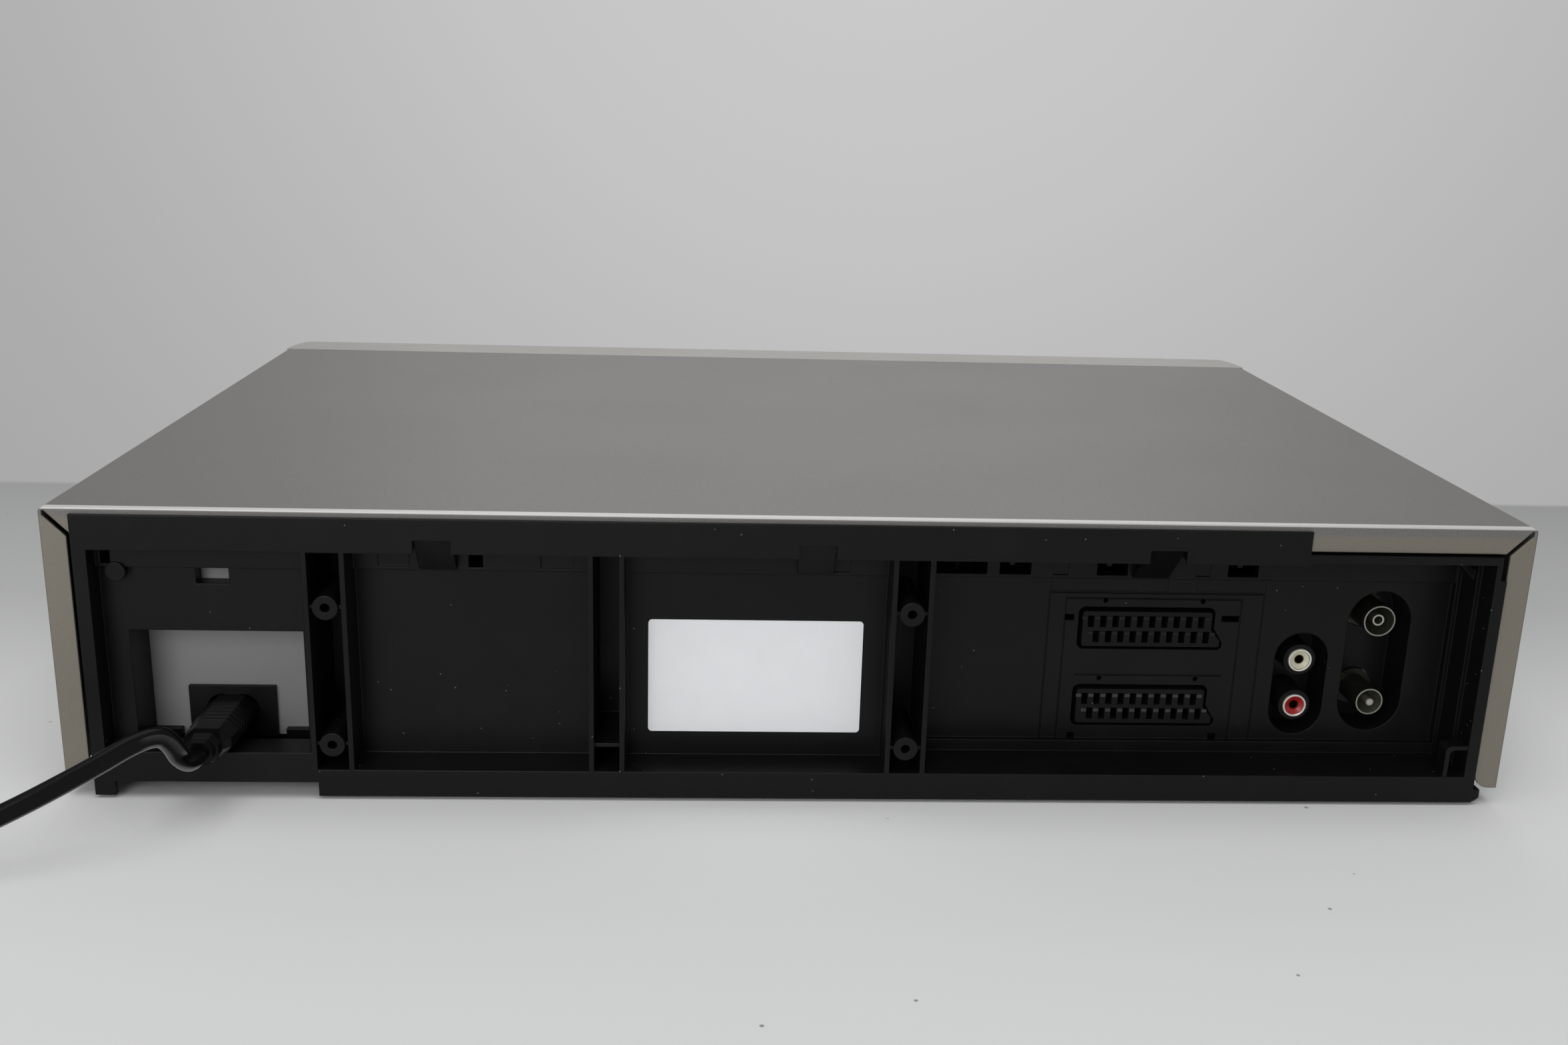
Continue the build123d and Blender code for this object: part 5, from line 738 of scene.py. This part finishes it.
def aerial_finish(name, node, rim_y, core_radius, core_y, bore_radius, bore_tone):
    """Tin plate painted dark as shade, paler in its bore, with painted highlights on the rim and on the
    contact in the middle.
    """
    material, tree, shader, place = finish(name)
    offset = vector_step(tree, "SUBTRACT", place, middle_of(node))["Vector"]
    flat = vector_step(tree, "MULTIPLY", offset, (1.0, 0.0, 1.0))["Vector"]
    apart = vector_step(tree, "LENGTH", flat)["Value"]
    rim = within(tree, place, "Y", *(rim_y - fade for fade in RIM_FADE))
    contact = within(tree, place, "Y", core_y - CONTACT_FADE, core_y)
    core = product(tree, round_mask(tree, apart, core_radius), contact)
    cloud = noise(tree, place, 240.0, 4.0)
    tint = ramp(tree, cloud, AERIAL_PAINTED_SHADE)
    bore = round_mask(tree, apart, bore_radius)
    tint = blend_colours(tree, bore, tint, (bore_tone, bore_tone, BORE_BLUE * bore_tone))
    # Painted highlights on the rim and on the contact.
    tint = blend_colours(tree, rim, tint, AERIAL_RIM_HIGHLIGHT)
    tint = blend_colours(tree, core, tint, AERIAL_CONTACT_HIGHLIGHT)
    tree.links.new(tint, shader.inputs["Base Color"])
    shader.inputs["Metallic"].default_value = 0.7
    tree.links.new(ramp(tree, cloud, ((0.3, grey(0.30)), (0.7, grey(0.42)))), shader.inputs["Roughness"])
    bumps(tree, shader, cloud, 0.3, 0.00001, 0.00015)
    return material


def pad_shape():
    """One small pad between two contact slots, with its four front edges chamfered."""
    corners = ((-1, -1), (1, -1), (1, 1), (-1, 1))
    rings = [[(x * (PAD_HALF_WIDTH - cut), y, z * (PAD_HALF_HEIGHT - cut)) for x, z in corners]
             for y, cut in ((0.0, 0.0), (PAD_THICKNESS, PAD_CHAMFER))]
    return lofted("pad_shape", rings)


def pad_rows(name):
    """A node group that sets the pads in two rows: count, pitch and the rows' first places are its inputs."""
    group = bpy.data.node_groups.new(name, "GeometryNodeTree")
    for label, kind in PAD_INPUTS:
        group.interface.new_socket(label, in_out="INPUT", socket_type="NodeSocket" + kind)
    group.interface.new_socket("Geometry", in_out="OUTPUT", socket_type="NodeSocketGeometry")
    given = group.nodes.new("NodeGroupInput")
    result = group.nodes.new("NodeGroupOutput")
    join = group.nodes.new("GeometryNodeJoinGeometry")
    for row in ("Upper Row", "Lower Row"):
        line = group.nodes.new("GeometryNodeMeshLine")
        group.links.new(given.outputs["Count"], line.inputs["Count"])
        group.links.new(given.outputs[row], line.inputs["Start Location"])
        group.links.new(given.outputs["Pitch"], line.inputs["Offset"])
        group.links.new(line.outputs["Mesh"], join.inputs["Geometry"])
    source = group.nodes.new("GeometryNodeObjectInfo")
    group.links.new(given.outputs["Pad"], source.inputs["Object"])
    spread = group.nodes.new("GeometryNodeInstanceOnPoints")
    group.links.new(join.outputs["Geometry"], spread.inputs["Points"])
    group.links.new(source.outputs["Geometry"], spread.inputs["Instance"])
    real = group.nodes.new("GeometryNodeRealizeInstances")
    group.links.new(spread.outputs["Instances"], real.inputs["Geometry"])
    paint = group.nodes.new("GeometryNodeSetMaterial")
    group.links.new(real.outputs["Geometry"], paint.inputs["Geometry"])
    group.links.new(given.outputs["Finish"], paint.inputs["Material"])
    group.links.new(paint.outputs["Geometry"], result.inputs["Geometry"])
    return group


def contact_pads(which, group, pad, material):
    """The small pads between the contact slots of one 21-way socket."""
    holder = piece("pad_holder", [(0.0, 0.0, 0.0)], [])
    modifier = holder.modifiers.new("rows", "NODES")
    modifier.node_group = group
    first = SOCKET_X - (PAD_COUNT - 1) / 2 * SLOT_PITCH
    middle = SOCKET_HEIGHTS[which] - PAD_DROP
    upper, lower = [(first + shift, SOCKET_FACE_Y, middle + height) for shift, height in ROW_PLACES]
    values = {"Pad": pad, "Count": PAD_COUNT, "Pitch": (SLOT_PITCH, 0.0, 0.0), "Upper Row": upper,
              "Lower Row": lower, "Finish": material}
    for item in group.interface.items_tree:
        if item.in_out == "INPUT":
            modifier[item.identifier] = values[item.name]
    bpy.context.view_layer.update()
    mesh = baked(holder)
    mesh.name = which + "_contact_pads"
    pads = bpy.data.objects.new(mesh.name, mesh)
    scene.collection.objects.link(pads)
    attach(pads, "cabinet")


# ---- Marks on the front ------------------------------------------------------------------------
# Everything in this part is in millimetres.
BUTTON_FACE_Y = -143.5
PRINT_THICKNESS = 0.06
PRINT_TOP_SHARE = 0.98  # of an outline's size, at the print's outer face
ARROW = ((-1.6, -2.0), (1.9, 0.0), (-1.6, 2.0))
PLATE = ((-1.8, -1.8), (1.8, -1.8), (1.8, 1.8), (-1.8, 1.8))
POWER_RING_RADII = (2.9, 2.3)
POWER_RING_START = 125.0  # degrees
POWER_RING_SWEEP = 290.0  # degrees
POWER_RING_STEPS = 24
ROUND_STEPS = 28
COLON_STEPS = 12


def circle(radius, steps=ROUND_STEPS):
    """Corners of a round mark."""
    return [(radius * math.cos(2 * math.pi * k / steps), radius * math.sin(2 * math.pi * k / steps))
            for k in range(steps)]


def moved(outline, dx, dz=0.0, scale_x=1.0, scale_z=1.0):
    """The outline stretched, then shifted."""
    return [(x * scale_x + dx, z * scale_z + dz) for x, z in outline]


def power_ring():
    """Short pieces of the open ring round the power symbol's bar."""
    outer, inner = POWER_RING_RADII
    outlines = []
    for k in range(POWER_RING_STEPS):
        corners = []
        for radius, turn in ((outer, k), (outer, k + 1), (inner, k + 1), (inner, k)):
            angle = math.radians(POWER_RING_START + POWER_RING_SWEEP * turn / POWER_RING_STEPS)
            corners.append((radius * math.cos(angle), radius * math.sin(angle)))
        outlines.append(corners)
    return outlines


# Which symbol each button shows: outlines from its middle, X to the right seen from the front.
SYMBOLS = {
    "power": [moved(PLATE, 0.0, 1.9, 0.17, 0.9), *power_ring()],
    "eject": [[(-2.4, -0.4), (2.4, -0.4), (0.0, 2.4)], moved(PLATE, 0.0, -1.6, 1.33, 0.25)],
    "rewind": [moved(ARROW, 1.9, 0.0, -0.9, 0.9), moved(ARROW, -1.6, 0.0, -0.9, 0.9)],
    "play": [moved(ARROW, 0.0, 0.0, 1.25, 1.25)],
    "forward": [moved(ARROW, -1.9, 0.0, 0.9, 0.9), moved(ARROW, 1.6, 0.0, 0.9, 0.9)],
    "stop": [PLATE],
    "record": [circle(1.8)],
}


def printed(name, outlines, centre, back_y, material, body):
    """Thin raised print on a face that looks to -Y."""
    verts = []
    faces = []
    for outline in outlines:
        first = len(verts)
        count = len(outline)
        middle_x = sum(x for x, _ in outline) / count
        middle_z = sum(z for _, z in outline) / count
        for y, shrink in ((back_y, 1.0), (back_y - PRINT_THICKNESS, PRINT_TOP_SHARE)):
            for x, z in outline:
                x = middle_x + (x - middle_x) * shrink
                z = middle_z + (z - middle_z) * shrink
                verts.append(((centre[0] + x) * MM, y * MM, (centre[1] + z) * MM))
        faces.append(tuple(range(first, first + count)))
        faces.append(tuple(reversed(range(first + count, first + 2 * count))))
        for k in range(count):
            a, b = first + k, first + (k + 1) % count
            faces.append((a, a + count, b + count, b))
    fitted(facing_out(piece(name, verts, faces)), material, body)


def button_marks():
    """Every button's symbol, printed on its face and moving with it."""
    for name, outlines in SYMBOLS.items():
        x, _, z = middle_of(nodes[name + "_button"])
        ink = record_ink if name == "record" else print_ink
        printed(name + "_symbol", outlines, (x / MM, z / MM), BUTTON_FACE_Y, ink, name + "_key")


# Seven-part figures of the clock: the bars top, upper left, upper right, middle, lower left, lower right and
# bottom, and which of them each figure lights.
BAR = ((-2.1, -0.35), (-1.75, -0.7), (1.75, -0.7), (2.1, -0.35), (1.75, 0.0), (-1.75, 0.0))
UPRIGHT = [(z, x * 1.1) for x, z in BAR]
FIGURE_BARS = (
    moved(BAR, 0.0, 5.2), moved(UPRIGHT, -2.1, 2.6), moved(UPRIGHT, 2.8, 2.6), moved(BAR, 0.0, 0.35),
    moved(UPRIGHT, -2.1, -2.6), moved(UPRIGHT, 2.8, -2.6), moved(BAR, 0.0, -4.5),
)
FIGURE_LIT = {"0": "1110111", "1": "0010010", "2": "1011101"}
FIGURES_SHOWN = "1200"
FIGURE_PLACES = (-16.5, -8.0, 8.0, 16.5)
COLON_DOT = circle(0.6, COLON_STEPS)
COLON_HEIGHTS = (2.0, -2.0)
CLOCK_FACE_Y = -123.5
CLOCK_CENTRE = (1.5, 30.0)


def clock_figures():
    """Figures of the clock tube behind the smoked window, all as thin glowing bars."""
    bars = []
    for place, figure in zip(FIGURE_PLACES, FIGURES_SHOWN):
        bars += [moved(bar, place) for bar, lit in zip(FIGURE_BARS, FIGURE_LIT[figure]) if lit == "1"]
    bars += [moved(COLON_DOT, 0.0, height) for height in COLON_HEIGHTS]
    printed("clock_figures", bars, CLOCK_CENTRE, CLOCK_FACE_Y, clock_glow, "cabinet")


clock_glow = clock_phosphor()
print_ink = moulding("print_ink", (0.035, 0.035, 0.036), 0.5)
record_ink = moulding("record_ink", (0.30, 0.02, 0.015), 0.5)
ring_nickel = sheet_metal("ring_nickel", (0.78, 0.77, 0.69), 0.30, metallic=0.75)
# Brass contact cups, painted near black as painted shade in the holes.
contact_brass = sheet_metal("contact_brass", (0.055, 0.022, 0.010), 0.35)
# The pads are one black moulding: the upper row keeps its own near-black, the lower row is painted lighter as
# painted light.
pad_dark = moulding("pad_dark", (0.0075, 0.0075, 0.0076), 0.35, specular=0.2)
pad_pale = moulding("pad_pale", (0.026, 0.026, 0.0255), 0.30, specular=0.4)
sound_socket("white")
sound_socket("red")
for aerial, (*sizes, bore_tone) in AERIALS.items():
    sizes = [size * MM for size in sizes]
    dress(nodes[aerial], aerial_finish(aerial + "_plate", nodes[aerial], *sizes, bore_tone))
row_group = pad_rows("pad_rows")
pad = pad_shape()
contact_pads("upper", row_group, pad, pad_dark)
contact_pads("lower", row_group, pad, pad_pale)
bpy.data.objects.remove(pad)
button_marks()
clock_figures()


# ---- Floor, light and background ---------------------------------------------------------------
TABLE_HALF = 6.0
TABLE_FAR_EDGE = -0.215
TABLE_EDGE_SOFTNESS = 0.006
TABLE_NEAR_TONE = 1.60
# Painted light and shade on the table: darkest at its far edge and far behind, lightest just behind the
# recorder, where it lifts the shadow. Tones from the table's far edge, at 0, to the distance above, at 1.
TABLE_PAINTED_LIGHT = ((0.0, grey(0.34)), (0.094, grey(0.44)), (0.196, grey(0.74)), (0.24, grey(0.70)),
               (0.5, grey(0.50)), (0.8, grey(0.20)), (1.0, grey(0.14)))
TABLE_CLOUD = grey(0.42)
TABLE_SPECKS = (60.0, 0.6, 0.027)  # cells per metre, the share that holds a grain, the grain's radius
TABLE_GRAIN = (0.27, 0.26, 0.25)
# The backdrop is painted with a pool of light, brightest in this direction.
WALL_CENTRE = (-0.10, -0.98, 0.16)  # direction of its brightest place
# Painted light on the backdrop: tones from that place outwards, as shares of the spread.
WALL_PAINTED_LIGHT = ((0.0, grey(0.61)), (0.35, grey(0.55)), (0.75, grey(0.42)), (1.0, grey(0.36)))
WALL_SPREAD = 0.75
ROOM_COLOUR = (0.98, 0.99, 1.0)
ROOM_STRENGTH = 0.36
# Each lamp's name, place, the point it faces, its side and its power in watts.
LAMPS = (
    ("ceiling_lamp", (0.0, 0.4, 1.7), (0.0, 0.0, 0.05), 1.6, 15.0),
    ("rear_lamp", (0.55, 1.6, 0.60), (0.0, 0.1, 0.05), 0.9, 12.5),
    ("front_lamp", (-0.1, -1.6, 1.3), (0.0, 0.0, 0.05), 1.4, 5.0),
)


def add_floor():
    """Wide pale table top that ends at the wall, with painted light and shade along its depth."""
    corners = [(x * TABLE_HALF, y * TABLE_HALF, 0.0) for x, y in ((-1, -1), (1, -1), (1, 1), (-1, 1))]
    floor = piece("table_top", corners, [(0, 1, 2, 3)])
    material, tree, shader, place = finish("table_paper")
    tint = ramp(tree, within(tree, place, "Y", TABLE_FAR_EDGE, TABLE_NEAR_TONE), TABLE_PAINTED_LIGHT)
    cloud = ramp(tree, noise(tree, place, 3.0, 2.0), ((0.3, grey(0.0)), (0.7, grey(0.10))))
    tint = blend_colours(tree, cloud, tint, TABLE_CLOUD)
    tint = blend_colours(tree, specks(tree, place, *TABLE_SPECKS), tint, TABLE_GRAIN)
    tree.links.new(tint, shader.inputs["Base Color"])
    shader.inputs["Roughness"].default_value = 0.75
    bumps(tree, shader, noise(tree, place, 150.0, 3.0), 0.2, 0.0002)
    clear = tree.nodes.new("ShaderNodeBsdfTransparent")
    edge = within(tree, place, "Y", TABLE_FAR_EDGE - TABLE_EDGE_SOFTNESS, TABLE_FAR_EDGE)
    surface = blend_shaders(tree, edge, clear.outputs["BSDF"], shader.outputs["BSDF"])
    tree.links.new(surface, tree.nodes["Material Output"].inputs["Surface"])
    floor.data.materials.append(material)


def add_world():
    """Studio surroundings: to the camera and in reflections a pale backdrop with a painted pool of light;
    even soft light on the object.
    """
    world = bpy.data.worlds.new("surroundings")
    scene.world = world
    world.use_nodes = True
    tree = world.node_tree
    tree.nodes.clear()
    out = tree.nodes.new("ShaderNodeOutputWorld")
    shown = tree.nodes.new("ShaderNodeBackground")
    direction = tree.nodes.new("ShaderNodeTexCoord").outputs["Generated"]
    apart = vector_step(tree, "DISTANCE", direction, WALL_CENTRE)["Value"]
    spread = combined(tree, apart, WALL_SPREAD, "DIVIDE")
    # Painted pool of light on the backdrop.
    tree.links.new(ramp(tree, spread, WALL_PAINTED_LIGHT), shown.inputs["Color"])
    light = tree.nodes.new("ShaderNodeBackground")
    light.inputs["Color"].default_value = (*ROOM_COLOUR, 1.0)
    light.inputs["Strength"].default_value = ROOM_STRENGTH
    rays = tree.nodes.new("ShaderNodeLightPath")
    seen = combined(tree, rays.outputs["Is Camera Ray"], rays.outputs["Is Glossy Ray"], "MAXIMUM")
    seen = combined(tree, seen, rays.outputs["Is Transmission Ray"], "MAXIMUM")
    surface = blend_shaders(tree, seen, light.outputs["Background"], shown.outputs["Background"])
    tree.links.new(surface, out.inputs["Surface"])


def add_lamp(name, place, aim, size, power):
    """A soft square lamp that faces a point."""
    data = bpy.data.lights.new(name, "AREA")
    data.size = size
    data.energy = power
    lamp = bpy.data.objects.new(name, data)
    lamp.location = place
    lamp.rotation_euler = (Vector(aim) - Vector(place)).to_track_quat("-Z", "Y").to_euler()
    scene.collection.objects.link(lamp)


add_floor()
add_world()
for lamp in LAMPS:
    add_lamp(*lamp)

scene.view_settings.view_transform = "Standard"
